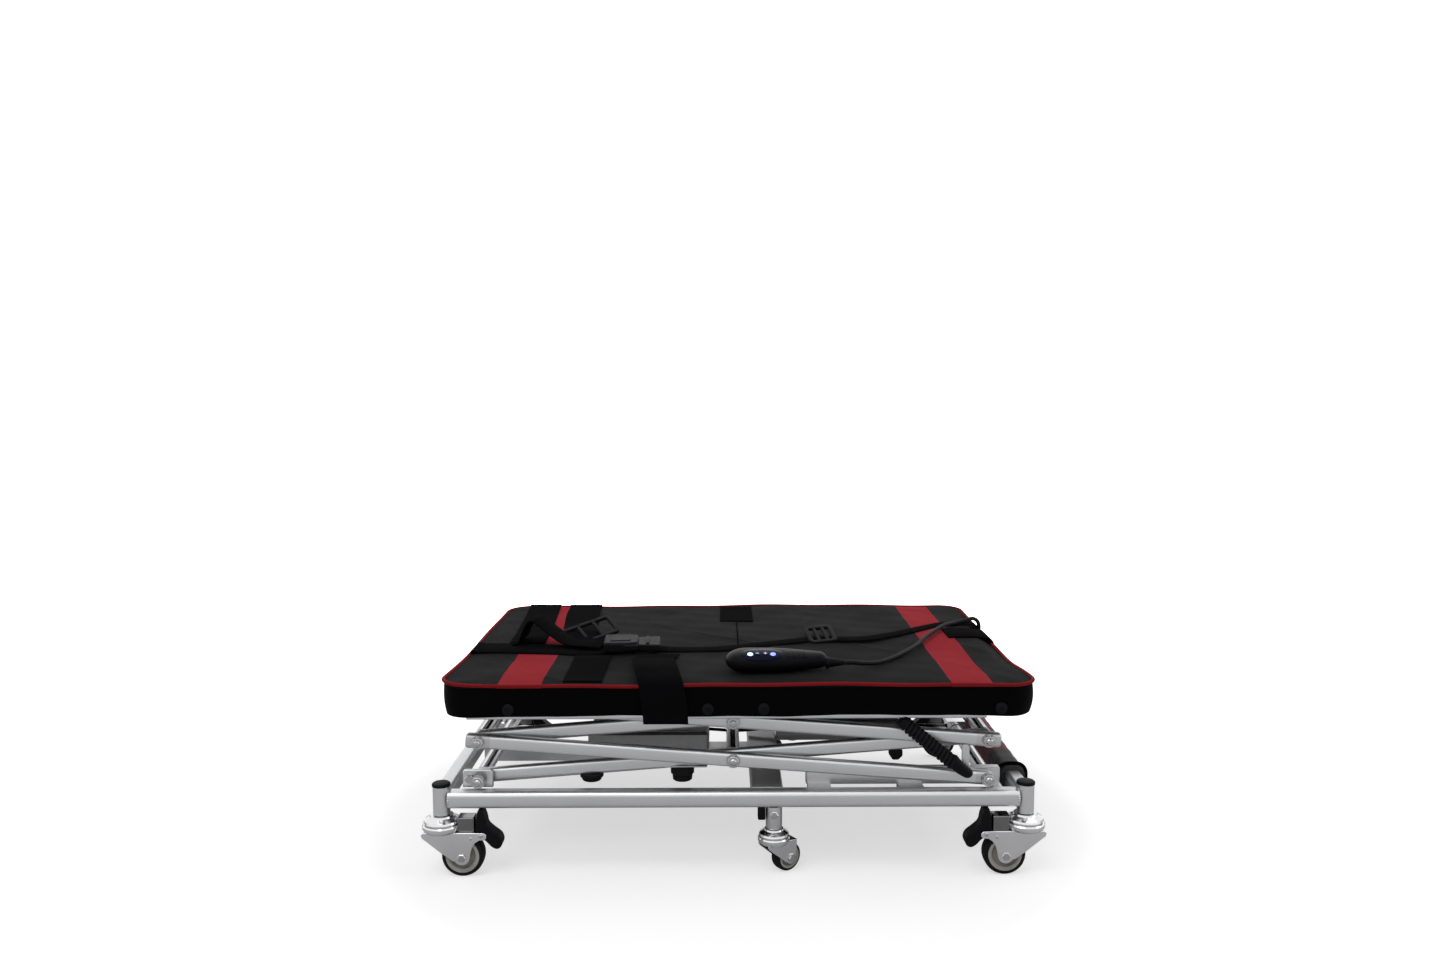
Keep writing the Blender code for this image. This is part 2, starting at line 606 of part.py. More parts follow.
def buckle():
    """The belt's latched side-release buckle, tongue in socket."""
    pivot = (-PIN_SPAN / 2, 0, TOP_PIN_Z)
    z0 = PAD_TOP + GAP + WEBBING_THICK + 2 * GAP
    socket = prism(rounded_rectangle(-165.0, -121.0, -88.0, -34.0, 8.0, 3), z0, z0 + 15.0, "Z")
    tongue = prism(rounded_rectangle(-124.0, -96.0, -84.0, -38.0, 6.0, 3), z0 + 1, z0 + 12.0, "Z")
    publish(combine(socket, (tongue,)), "belt_buckle", "black_plastic", pivot)


def handset():
    """Hand control with two sprung keys and its strain relief."""
    cx, cy = HANDSET_CENTRE
    x0, x1 = cx - HANDSET_LENGTH / 2, cx + HANDSET_LENGTH / 2
    half = HANDSET_WIDTH / 2
    body = prism(rounded_rectangle(x0, x1, cy - half, cy + half, 22.0, 5), HANDSET_BOTTOM, HANDSET_TOP, "Z")
    relief = turned([(x1 - 3, 6.5), (x1 + 6, 6.0), (x1 + 22, 4.0)], "X", (0, cy, 243.0), 12)
    pockets = [cylinder("Z", (x, cy, 0), KEY_RADIUS + 0.5, HANDSET_TOP - 3, HANDSET_TOP + 4, 20)
               for x in KEY_X.values()]
    publish(combine(body, (relief,), pockets), "handset", "control_plastic")
    for name, x in KEY_X.items():
        key = cylinder("Z", (x, cy, 0), KEY_RADIUS, HANDSET_TOP - 1.5, HANDSET_TOP + 1.0, 20)
        publish(key, name, "control_plastic", (x, cy, HANDSET_TOP))


def leads():
    """The hand control's cord over the right edge, and the curly lead under the platform."""
    start = HANDSET_CENTRE[0] + HANDSET_LENGTH / 2 + 22 + GAP
    top = PAD_TOP + 3.4
    exit_y = HANDSET_CENTRE[1]
    route = [(start, exit_y, 243.0), (start + 9, exit_y, 243.0), (157.0, -162.0, 240.5), (176.0, -148.0, 237.5),
             (196.0, -124.0, top), (218.0, -92.0, top), (240.0, -56.0, 237.5), (256.0, -22.0, 239.2),
             (276.0, 18.0, 239.4), (298.0, 56.0, 239.4), (316.0, 80.0, 237.0), (333.0, 93.0, 237.6),
             (346.0, 102.0, 238.4), (354.0, 108.0, 234.0), (357.5, 111.0, 226.0), (357.5, 113.0, 215.0),
             (356.5, 113.0, 204.0), (354.0, 113.0, 193.0), (347.5, 113.0, 184.5), (338.5, 113.0, 182.5),
             (331.5, 113.0, 188.5), (329.5, 113.0, 200.0), (330.0, 113.0, 212.5)]
    cord("handset_cord", route, 5.5, "lead_rubber", 8.0, 2)
    coil = [(201.0, -211.0, 180.8), (208.0, -211.5, 175.0), (229.0, -212.0, 157.5), (249.0, -212.0, 141.0),
            (259.0, -212.0, 133.0)]
    cord("coil_lead", coil, 18.0, "lead_rubber", 16.0, 2)
    elbow = turned([(114.0, 6.5), (118.0, 8.0), (132.0, 8.0)], "Z", (274.5, -209.5, 0.0), 14)
    pivot = (PIN_SPAN / 2, 0, MID_PIN_Z)
    tab = box((269.0, -203.0, 120.0), (280.0, -OUTER_ARM_FACE - GAP, 164.0))
    publish(combine(elbow, (tab,)), "lead_clip", "black_plastic", pivot)


def main():
    for old in list(bpy.data.objects):
        bpy.data.objects.remove(old, do_unlink=True)
    base_rails()
    base_ends()
    base_middle()
    slide_tracks()
    grip_sleeve()
    corner_castors()
    middle_castors()
    scissor_arms()
    cross_shafts()
    lift_drive()
    platform()
    cover_skirts()
    webbing()
    buckle()
    handset()
    leads()


main()
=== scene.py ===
"""Looks of a powered floor lift: metals, padded cover, webbing, hand control and leads."""
import json
import math

import bpy
import numpy as np
from mathutils import Euler, Matrix, Vector


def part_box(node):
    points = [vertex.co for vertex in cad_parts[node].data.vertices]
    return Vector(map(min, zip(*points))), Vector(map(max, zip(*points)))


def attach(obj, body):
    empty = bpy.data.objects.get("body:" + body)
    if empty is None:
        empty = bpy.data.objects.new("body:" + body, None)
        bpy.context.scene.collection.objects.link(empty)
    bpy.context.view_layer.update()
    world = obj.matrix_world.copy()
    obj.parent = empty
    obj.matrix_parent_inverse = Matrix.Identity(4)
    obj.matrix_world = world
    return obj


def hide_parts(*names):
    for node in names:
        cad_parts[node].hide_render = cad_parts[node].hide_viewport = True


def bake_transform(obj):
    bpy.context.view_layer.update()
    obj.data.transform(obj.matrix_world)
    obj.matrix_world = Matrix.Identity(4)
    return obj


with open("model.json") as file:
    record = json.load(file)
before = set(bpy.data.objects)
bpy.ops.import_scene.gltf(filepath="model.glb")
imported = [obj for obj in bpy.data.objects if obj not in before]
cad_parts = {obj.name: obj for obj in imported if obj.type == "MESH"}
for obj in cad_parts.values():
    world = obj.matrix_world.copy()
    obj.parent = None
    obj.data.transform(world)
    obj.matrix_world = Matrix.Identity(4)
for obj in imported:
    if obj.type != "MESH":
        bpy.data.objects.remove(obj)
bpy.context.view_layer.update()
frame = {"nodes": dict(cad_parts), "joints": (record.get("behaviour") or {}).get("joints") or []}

bl_info = {
    "name": "Floor lift looks",
    "version": (1, 0, 0),
    "blender": (4, 5, 0),
    "location": "View3D > Sidebar > Floor lift",
    "description": "Builds the visible pieces of a powered scissor floor lift round its frame",
    "category": "Object",
}

MM = 0.001
NODES = frame["nodes"]
JOINTS = {joint["name"]: joint for joint in frame["joints"]}


def node_box(name):
    """A CAD node's corners in millimetres."""
    low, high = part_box(name)
    return np.array(low) / MM, np.array(high) / MM


def pin(joint):
    """A joint's place in millimetres."""
    return np.array(JOINTS[joint]["pos_m"]) / MM


# ---------------------------------------------------------------- shader expressions

class Wire:
    """A socket that can stand in a Python expression; each operator adds its Math node."""

    def __init__(self, paint, socket):
        self.paint, self.socket = paint, socket

    def _math(self, operation, *values):
        return self.paint.node("ShaderNodeMath", {"operation": operation}, values)

    def __add__(self, other):
        return self._math("ADD", self, other)

    def __sub__(self, other):
        return self._math("SUBTRACT", self, other)

    def __rsub__(self, other):
        return self._math("SUBTRACT", other, self)

    def __mul__(self, other):
        return self._math("MULTIPLY", self, other)

    def __gt__(self, other):
        return self._math("GREATER_THAN", self, other)

    def __lt__(self, other):
        return self._math("LESS_THAN", self, other)

    def size(self):
        return self._math("ABSOLUTE", self)

    __radd__ = __add__
    __rmul__ = __mul__


class Paint:
    """One material and its nodes."""

    def __init__(self, name):
        self.material = bpy.data.materials.new(name)
        self.material.use_nodes = True
        self.tree = self.material.node_tree
        self.shader = self.tree.nodes["Principled BSDF"]

    def node(self, kind, settings=None, values=(), output=0):
        """Make a node: settings first, then its sockets' values or links, by index or by name."""
        made = self.tree.nodes.new(kind)
        for key, value in (settings or {}).items():
            setattr(made, key, value)
        pairs = values.items() if isinstance(values, dict) else enumerate(values)
        for key, value in pairs:
            if isinstance(value, Wire):
                self.tree.links.new(value.socket, made.inputs[key])
            else:
                made.inputs[key].default_value = value
        return Wire(self, made.outputs[output])

    def place(self, stretch=(1, 1, 1)):
        """Object coordinates, stretched."""
        coordinates = self.node("ShaderNodeTexCoord", output=3)
        return self.node("ShaderNodeMapping", {}, {"Vector": coordinates, "Scale": stretch})

    def noise(self, scale, detail=3.0, stretch=(1, 1, 1)):
        return self.node("ShaderNodeTexNoise", {}, {"Vector": self.place(stretch), "Scale": scale,
                                                    "Detail": detail})

    def wave(self, scale, direction="X", stretch=(1, 1, 1)):
        settings = {"wave_type": "BANDS", "bands_direction": direction}
        return self.node("ShaderNodeTexWave", settings, {"Vector": self.place(stretch), "Scale": scale})

    def axes(self):
        split = self.node("ShaderNodeSeparateXYZ", {}, {"Vector": self.place()}).socket.node
        return [Wire(self, split.outputs[i]) for i in range(3)]

    def blend(self, factor, first, second):
        """Mix two colours."""
        made = self.tree.nodes.new("ShaderNodeMix")
        made.data_type = 'RGBA'
        for socket, value in zip((made.inputs[0], made.inputs[6], made.inputs[7]), (factor, first, second)):
            if isinstance(value, Wire):
                self.tree.links.new(value.socket, socket)
            else:
                socket.default_value = value
        return Wire(self, made.outputs[2])

    def feed(self, name, value):
        socket = self.shader.inputs[name]
        if isinstance(value, Wire):
            self.tree.links.new(value.socket, socket)
        else:
            socket.default_value = value

    def relief(self, height, depth, strength=1.0):
        """Bump from a height between 0 and 1, depth in millimetres."""
        bump = self.node("ShaderNodeBump", {}, {"Height": height, "Distance": depth * MM,
                                                "Strength": strength})
        self.feed("Normal", bump)


def colour(red, green, blue):
    return (red, green, blue, 1.0)


MADE_FINISHES = {}


def finish(maker, *details):
    """A material made by its maker once."""
    key = (maker.__name__,) + details
    if key not in MADE_FINISHES:
        MADE_FINISHES[key] = maker(*details)
    return MADE_FINISHES[key]


def brushed_metal(name="brushed_aluminium", tone=0.58, stretch=(2, 60, 60), rough=0.34):
    """Drawn aluminium: fine lines along the bar, faint cloudy oxide."""
    paint = Paint(name)
    lines = paint.noise(14.0, 4.0, stretch)
    clouds = paint.noise(9.0, 3.0)
    light = colour(tone, tone * 1.005, tone * 1.02)
    dark = colour(tone * 0.72, tone * 0.725, tone * 0.74)
    paint.feed("Base Color", paint.blend(lines * 0.45 + clouds * 0.35, light, dark))
    paint.feed("Roughness", rough - 0.06 + lines * 0.14)
    paint.feed("Metallic", 0.92)
    paint.relief(lines, 0.05, 0.35)
    return paint.material


def chromed_steel(name="chrome_plate", tone=0.62):
    paint = Paint(name)
    film = paint.noise(26.0, 3.0)
    paint.feed("Base Color", paint.blend(film, colour(tone, tone, tone * 1.01),
                                         colour(tone * 0.8, tone * 0.8, tone * 0.82)))
    paint.feed("Roughness", film * 0.12 + 0.09)
    paint.feed("Metallic", 1.0)
    paint.relief(film, 0.08, 0.25)
    return paint.material


def moulded_plastic(name="moulded_plastic", red=0.007, green=0.007, blue=0.008, rough=0.42, grain=0.12,
                    index=1.17):
    paint = Paint(name)
    speck = paint.noise(900.0, 2.0)
    cloud = paint.noise(30.0, 3.0)
    base = colour(red, green, blue)
    paint.feed("Base Color", paint.blend(cloud, base, colour(red * 1.7, green * 1.7, blue * 1.7)))
    paint.feed("Roughness", rough + cloud * 0.12)
    paint.shader.inputs["Specular IOR Level"].default_value = 0.25
    paint.shader.inputs["IOR"].default_value = index
    paint.relief(speck, grain, 0.5)
    return paint.material


def woven(name, base, thread, stripes=(), stripe_tone=None, top=None, side_tone=None, rough=0.72,
          index=1.22):
    """Plain weave: two crossed bands of thread; stripes are (low, high) along X above height `top`."""
    paint = Paint(name)
    warp = paint.wave(1000.0 / thread / 2, "X")
    weft = paint.wave(1000.0 / thread / 2, "Y")
    fill = paint.wave(1000.0 / thread / 2, "Z")
    weave = warp * 0.4 + weft * 0.4 + fill * 0.2
    cloud = paint.noise(16.0, 5.0)
    dark = colour(*(value * 0.62 for value in base))
    tone = paint.blend(cloud * 0.7 + weave * 0.3, colour(*base), dark)
    if side_tone:
        x, _, z = paint.axes()
        crown = z > top
        tone = paint.blend(crown, colour(*side_tone), tone)
        for low, high in stripes:
            inside = (x > low) * (x < high) * crown
            band = paint.blend(cloud * 0.6 + weave * 0.3, colour(*stripe_tone),
                               colour(*(value * 0.72 for value in stripe_tone)))
            tone = paint.blend(inside, tone, band)
    paint.feed("Base Color", tone)
    paint.feed("Roughness", rough + cloud * 0.12)
    paint.shader.inputs["Sheen Weight"].default_value = 0.02
    paint.shader.inputs["Specular IOR Level"].default_value = 0.04
    paint.shader.inputs["IOR"].default_value = index
    paint.relief(weave * 0.5 + paint.noise(60.0, 4.0) * 0.5, 0.35, 0.6)
    return paint.material


def glow(name, red, green, blue, power):
    paint = Paint(name)
    spot = paint.noise(400.0, 1.0)
    paint.feed("Base Color", colour(red * 0.5, green * 0.5, blue * 0.5))
    paint.feed("Emission Color", paint.blend(spot * 0.3, colour(red, green, blue), colour(1, 1, 1)))
    paint.shader.inputs["Emission Strength"].default_value = power
    return paint.material


def aluminium():
    return finish(brushed_metal)


def aluminium_across():
    return finish(brushed_metal, "brushed_across", 0.55, (60, 2, 60), 0.34)


def black_plastic():
    return finish(moulded_plastic)


def webbing_black():
    return finish(webbing_weave)


def webbing_weave():
    return woven("webbing_weave", (0.006, 0.006, 0.007), 1.6, rough=0.7, index=1.04)


# ---------------------------------------------------------------- surfaces

def add_mesh(name, vertices, faces, material, body, stands_for=(), smooth=40.0):
    """Put worked-out vertices (millimetres) into a piece that rides on a body."""
    mesh = bpy.data.meshes.new(name)
    mesh.from_pydata((np.asarray(vertices, float).reshape(-1, 3) * MM).tolist(), [], faces)
    mesh.validate()
    mesh.shade_smooth()
    mesh.set_sharp_from_angle(angle=math.radians(smooth))
    mesh.materials.append(material)
    piece = bpy.data.objects.new(name, mesh)
    bpy.context.scene.collection.objects.link(piece)
    if body:
        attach(piece, body)
    if stands_for:
        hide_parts(*stands_for)
    return piece


def grid_faces(rows, columns, wrap_rows=False, wrap_columns=True, caps=True, flip=False):
    """Quads of a rows x columns grid; caps close the first and last row."""
    i = np.arange(rows if wrap_rows else rows - 1)[:, None]
    j = np.arange(columns if wrap_columns else columns - 1)[None, :]
    i2, j2 = (i + 1) % rows, (j + 1) % columns
    quads = np.stack([i * columns + j, i * columns + j2, i2 * columns + j2, i2 * columns + j],
                     -1).reshape(-1, 4)
    faces = [tuple(q) for q in (quads[:, ::-1] if flip else quads).tolist()]
    if caps:
        first, last = list(range(columns))[::-1], [(rows - 1) * columns + k for k in range(columns)]
        faces += [tuple(first[::-1]), tuple(last[::-1])] if flip else [tuple(first), tuple(last)]
    return faces


def outward(vertices, faces):
    """True if the closed mesh's faces point out (positive signed volume)."""
    v = np.asarray(vertices, float).reshape(-1, 3)
    total = 0.0
    quads = np.array([f for f in faces if len(f) == 4])
    for a, b, c in ((0, 1, 2), (0, 2, 3)):
        p, q, r = v[quads[:, a]], v[quads[:, b]], v[quads[:, c]]
        total += np.einsum('ij,ij->i', p, np.cross(q, r)).sum()
    for face in (f for f in faces if len(f) != 4):
        centre = v[list(face)].mean(0)
        ring = v[list(face)]
        total += np.einsum('ij,ij->i', np.broadcast_to(centre, ring.shape),
                           np.cross(ring, np.roll(ring, -1, 0))).sum()
    return total > 0


def closed_grid(points, wrap_rows=False, caps=True):
    """Faces of a closed grid of points (rows, columns, 3), turned outwards."""
    rows, columns, _ = points.shape
    faces = grid_faces(rows, columns, wrap_rows, True, caps)
    if not outward(points, faces):
        faces = [face[::-1] for face in faces]
    return faces


def rounded_profile(width, height, radius, steps=5):
    """Points round a rectangle with round corners, centred on zero."""
    a, b = width / 2 - radius, height / 2 - radius
    angles = np.linspace(0, math.pi / 2, steps + 1)
    corners = [(a, b), (-a, b), (-a, -b), (a, -b)]
    parts = [np.stack([cx + radius * np.cos(angles + k * math.pi / 2),
                       cy + radius * np.sin(angles + k * math.pi / 2)], 1)
             for k, (cx, cy) in enumerate(corners)]
    return np.concatenate(parts)


def round_profile(radius, sides=16):
    angles = np.linspace(0, 2 * math.pi, sides, endpoint=False)
    return np.stack([radius * np.cos(angles), radius * np.sin(angles)], 1)


def sweep(name, path, profile, material, body, stands_for=(), up=(0, 0, 1), scale=None,
          closed=False, smooth=40.0):
    """Carry a profile along a path: its first axis lies across the path and `up`, its second along `up`."""
    path = np.asarray(path, float)
    tangent = (np.roll(path, -1, 0) - np.roll(path, 1, 0)) if closed else np.gradient(path, axis=0)
    tangent /= np.linalg.norm(tangent, axis=1)[:, None]
    ups = np.broadcast_to(np.asarray(up, float), path.shape)
    side = np.cross(tangent, ups)
    side /= np.linalg.norm(side, axis=1)[:, None]
    high = np.cross(side, tangent)
    sizes = np.ones((len(path), 2)) if scale is None else np.asarray(scale, float).reshape(len(path), -1)
    across = profile[None, :, :1] * sizes[:, None, :1]
    along = profile[None, :, 1:] * sizes[:, None, -1:]
    points = path[:, None] + side[:, None] * across + high[:, None] * along
    return add_mesh(name, points, closed_grid(points, closed, not closed), material, body,
                    stands_for, smooth)


def turned(name, stations, centre, axis, material, body, stands_for=(), sides=40, smooth=30.0):
    """A lathe shape: stations (along, radius) turned about an axis through a centre."""
    stations = np.asarray(stations, float)
    axis = np.asarray(axis, float) / np.linalg.norm(axis)
    first = np.cross(axis, (0, 0, 1) if abs(axis[2]) < 0.9 else (1, 0, 0))
    first /= np.linalg.norm(first)
    second = np.cross(axis, first)
    angles = np.linspace(0, 2 * math.pi, sides, endpoint=False)
    ring = np.cos(angles)[:, None] * first + np.sin(angles)[:, None] * second
    points = np.asarray(centre) + stations[:, :1, None] * axis + stations[:, 1:, None] * ring[None]
    return add_mesh(name, points, closed_grid(points), material, body, stands_for, smooth)


def plate(name, outline, low, high, place, material, body, stands_for=(), bevel=0.8):
    """An outline pushed between two heights, its edges rounded by a Bevel modifier; place maps it to the row frame."""
    outline = np.asarray(outline, float)
    count = len(outline)
    flat = np.concatenate([np.c_[outline, np.full(count, low)], np.c_[outline, np.full(count, high)]])
    points = place(flat).reshape(2, count, 3)
    piece = add_mesh(name, points, closed_grid(points), material, body, stands_for, 35.0)
    if bevel:
        rounding = piece.modifiers.new("edges", 'BEVEL')
        rounding.width = bevel * MM
        rounding.segments = 3
        rounding.limit_method = 'ANGLE'
        rounding.angle_limit = math.radians(40)
    return piece


def spline(points, count):
    """Points on a Catmull-Rom curve through the given ones, evenly spaced."""
    p = np.asarray(points, float)
    p = np.concatenate([[2 * p[0] - p[1]], p, [2 * p[-1] - p[-2]]])
    t = np.linspace(0, 1, 25)[:-1, None, None]
    a, b, c, d = p[:-3], p[1:-2], p[2:-1], p[3:]
    dense = 0.5 * (2 * b + (c - a) * t + (2 * a - 5 * b + 4 * c - d) * t ** 2 + (3 * b - a - 3 * c + d) * t ** 3)
    dense = np.concatenate([dense.transpose(1, 0, 2).reshape(-1, p.shape[1]), p[-2:-1]])
    along = np.r_[0, np.cumsum(np.linalg.norm(np.diff(dense, axis=0), axis=1))]
    return np.stack([np.interp(np.linspace(0, along[-1], count), along,
                               dense[:, k]) for k in range(p.shape[1])], 1)


def ribbon(name, path, across, width, thickness, normals, material, body="platform",
           stands_for=()):
    """A flat strap: a thin rounded section carried along a path, across and normal given at each point."""
    profile = rounded_profile(width, thickness, thickness * 0.45, 2)
    across = np.broadcast_to(np.asarray(across, float), path.shape)
    normals = np.asarray(normals, float)
    normals = normals / np.linalg.norm(normals, axis=1)[:, None]
    points = path[:, None] + across[:, None] * profile[None, :, :1] + normals[:, None] * profile[None, :,
                                                                                                 1:]
    return add_mesh(name, points, closed_grid(points), material, body, stands_for, 50.0)


def path_normals(path, across):
    """Unit vectors square to the path and to the strap's width, facing up or outwards."""
    tangent = np.gradient(path, axis=0)
    normal = np.cross(tangent, np.broadcast_to(np.asarray(across, float), path.shape))
    normal /= np.linalg.norm(normal, axis=1)[:, None]
    middle = normal[len(normal) // 2]
    return normal if middle[2] >= -0.2 else -normal


# ---------------------------------------------------------------- seat

SEAT_LOW, SEAT_HIGH = node_box("seat_cushion")
HEM_Z = node_box("cover_skirt_near")[0][2]
SEAT_MIDDLE = (SEAT_LOW[:2] + SEAT_HIGH[:2]) / 2
SEAT_HALF = (SEAT_HIGH[:2] - SEAT_LOW[:2]) / 2
SEAT_CORNER = 34.0
PIPING_Z = SEAT_HIGH[2] - 1.6
STRIPES = ((-0.273, -0.222), (0.2525, 0.300))


def rim(count, inset=0.0):
    """Evenly spaced points round the seat's outline, anticlockwise from above, moved inwards."""
    half = SEAT_HALF - inset
    outline = rounded_profile(2 * half[0], 2 * half[1], SEAT_CORNER - inset * 0.6, 24)
    outline = np.concatenate([outline, outline[:1]])
    along = np.r_[0, np.cumsum(np.linalg.norm(np.diff(outline, axis=0), axis=1))]
    wanted = np.linspace(0, along[-1], count, endpoint=False)
    points = np.stack([np.interp(wanted, along, outline[:, k]) for k in (0, 1)], 1)
    flare = np.clip(-points[:, 1] / SEAT_HALF[1], 0,
                    1) ** 2 * np.clip(np.abs(points[:, 0]) / SEAT_HALF[0], 0, 1) ** 6
    drape = np.clip(points[:, 0] / SEAT_HALF[0], 0, 1) ** 8 * np.exp(-((points[:, 1] - 10) / 120) ** 2)
    points[:, 0] += np.sign(points[:, 0]) * 6.0 * flare + 5.0 * drape
    return points + SEAT_MIDDLE


def rim_wave(x, y):
    """How far the seam wanders up and down along the edge."""
    pulled = np.clip((x - SEAT_HIGH[0] + 24) / 24, 0, 1) ** 2 * np.exp(-((y + 5) / 135) ** 4)
    return (0.9 * np.sin(x * 0.0135 + 0.4) + 0.55 * np.sin(x * 0.041 + y * 0.02 + 1.2)
            + 0.5 * np.sin(y * 0.027 + 0.8) - 8.5 * pulled)


def seat_height(x, y):
    """The cover's top: a low crown that falls to the piping, with shallow wandering creases."""
    u, v = (x - SEAT_MIDDLE[0]) / SEAT_HALF[0], (y - SEAT_MIDDLE[1]) / SEAT_HALF[1]
    edge = np.clip(1 - np.maximum(np.abs(u), np.abs(v)), 0, 1)
    swell = 1 - np.exp(-edge / 0.045)
    crease = (0.6 * np.sin(x * 0.031 + 1.9 * np.sin(y * 0.017)) * np.cos(y * 0.024 + 0.7)
              + 0.34 * np.sin(x * 0.074 - y * 0.051 + 1.3) + 0.2 * np.sin(y * 0.13 + x * 0.045))
    fold = 1 - np.abs(np.sin(x * 0.019 + y * 0.011 + 0.9 * np.sin(y * 0.023 + x * 0.008)))
    crease = crease + 0.7 * fold ** 7
    return PIPING_Z + 0.3 + rim_wave(x, y) + swell * (1.4 + crease)


def seat_cover():
    """Top, side wall and turned-in hem as one skin: the outline shrinks to a pole and hangs to the hem."""
    count = 420
    edge = rim(count)
    fan = np.r_[np.linspace(0.004, 0.86, 60), np.linspace(0.87, 1.0, 26)]
    top = (SEAT_MIDDLE + (edge - SEAT_MIDDLE)[None] * fan[:, None, None])
    top = np.concatenate([top, seat_height(top[..., 0], top[..., 1])[..., None]], 2)
    out = edge - rim(count, 1.0)
    out /= np.linalg.norm(out, axis=1)[:, None]
    s = np.arange(count) / count * 2 * math.pi
    sag = 0.8 * np.sin(7 * s + 0.6) + 0.5 * np.sin(17 * s) - 0.3
    depth = np.linspace(0.06, 1, 20)[:, None]
    bulge = 1.4 * np.sin(depth * math.pi) - 2.2 * depth ** 3
    fold = 0.55 * np.sin(23 * s + 4 * depth) * depth + 0.35 * np.sin(51 * s + 1.1) * depth
    wall = edge[None] + out[None] * (bulge + fold - 0.6)[..., None]
    seam = PIPING_Z + rim_wave(edge[:, 0], edge[:, 1])[None]
    wall = np.concatenate([wall, (seam + (HEM_Z + sag - seam) * depth)[..., None]], 2)
    back = np.array([[1.2, 0.0], [2.2, 1.5], [2.4, 6.0], [2.4, 15.0]])
    inner = wall[-1][None, :, :2] - out[None] * back[:, :1, None]
    lining = np.concatenate([inner, np.broadcast_to((HEM_Z + sag)[None] + back[:, 1:],
                                                    inner.shape[:2])[..., None]], 2)
    points = np.concatenate([top, wall, lining])
    cloth = finish(cover_cloth)
    piece = add_mesh("seat_cover", points, closed_grid(points), cloth, "platform",
                     ("seat_cushion", "cover_skirt_near", "cover_skirt_far", "cover_skirt_left",
                      "cover_skirt_right"), 60.0)


def cover_cloth():
    settings = bpy.context.scene.lift_looks
    return woven("cover_cloth", tuple(settings.cloth_tone), 1.3, STRIPES, tuple(settings.band_tone),
                 (PIPING_Z - 2.6) * MM, (0.002, 0.002, 0.0026), 0.6)


def red_piping_cloth():
    return woven("piping_cloth", (0.33, 0.018, 0.022), 0.9, rough=0.5)


def seat_piping():
    """Round cord sewn into the seam round the top edge."""
    edge = rim(460, -0.4)
    path = np.c_[edge, PIPING_Z + 0.2 + rim_wave(edge[:, 0], edge[:, 1])]
    sweep("seat_piping", path, round_profile(2.1, 10), finish(red_piping_cloth), "platform",
          closed=True)


def skirt_studs():
    """Press studs along the side walls, by the hem."""
    for side in (-1, 1):
        y = SEAT_MIDDLE[1] + side * (SEAT_HALF[1] + 1.0)
        for number, x in enumerate((-260.0, -29.5, 35.0, 309.0)):
            stations = [(-1.5, 6.5), (0.6, 6.8), (1.6, 6.0), (2.3, 4.2), (2.6, 2.6), (1.6, 2.0), (1.6, 0.2)]
            turned(f"stud_{'far' if side > 0 else 'near'}_{number}", stations, (x, y, 204.0), (0, side, 0),
                   black_plastic(), "platform", sides=24)


# ---------------------------------------------------------------- webbing

def over_top(points, lift=1.1):
    """Control points (x, y) or (x, y, extra height) laid on the seat cover."""
    return [(p[0], p[1], float(seat_height(p[0], p[1])) + lift + (p[2] if len(p) > 2 else 0)) for p in points]


def strap(name, control, across, width=49.0, count=60, stands_for=()):
    path = spline(control, count)
    return ribbon(name, path, across, width, 1.7, path_normals(path, across), webbing_black(),
                  stands_for=stands_for)


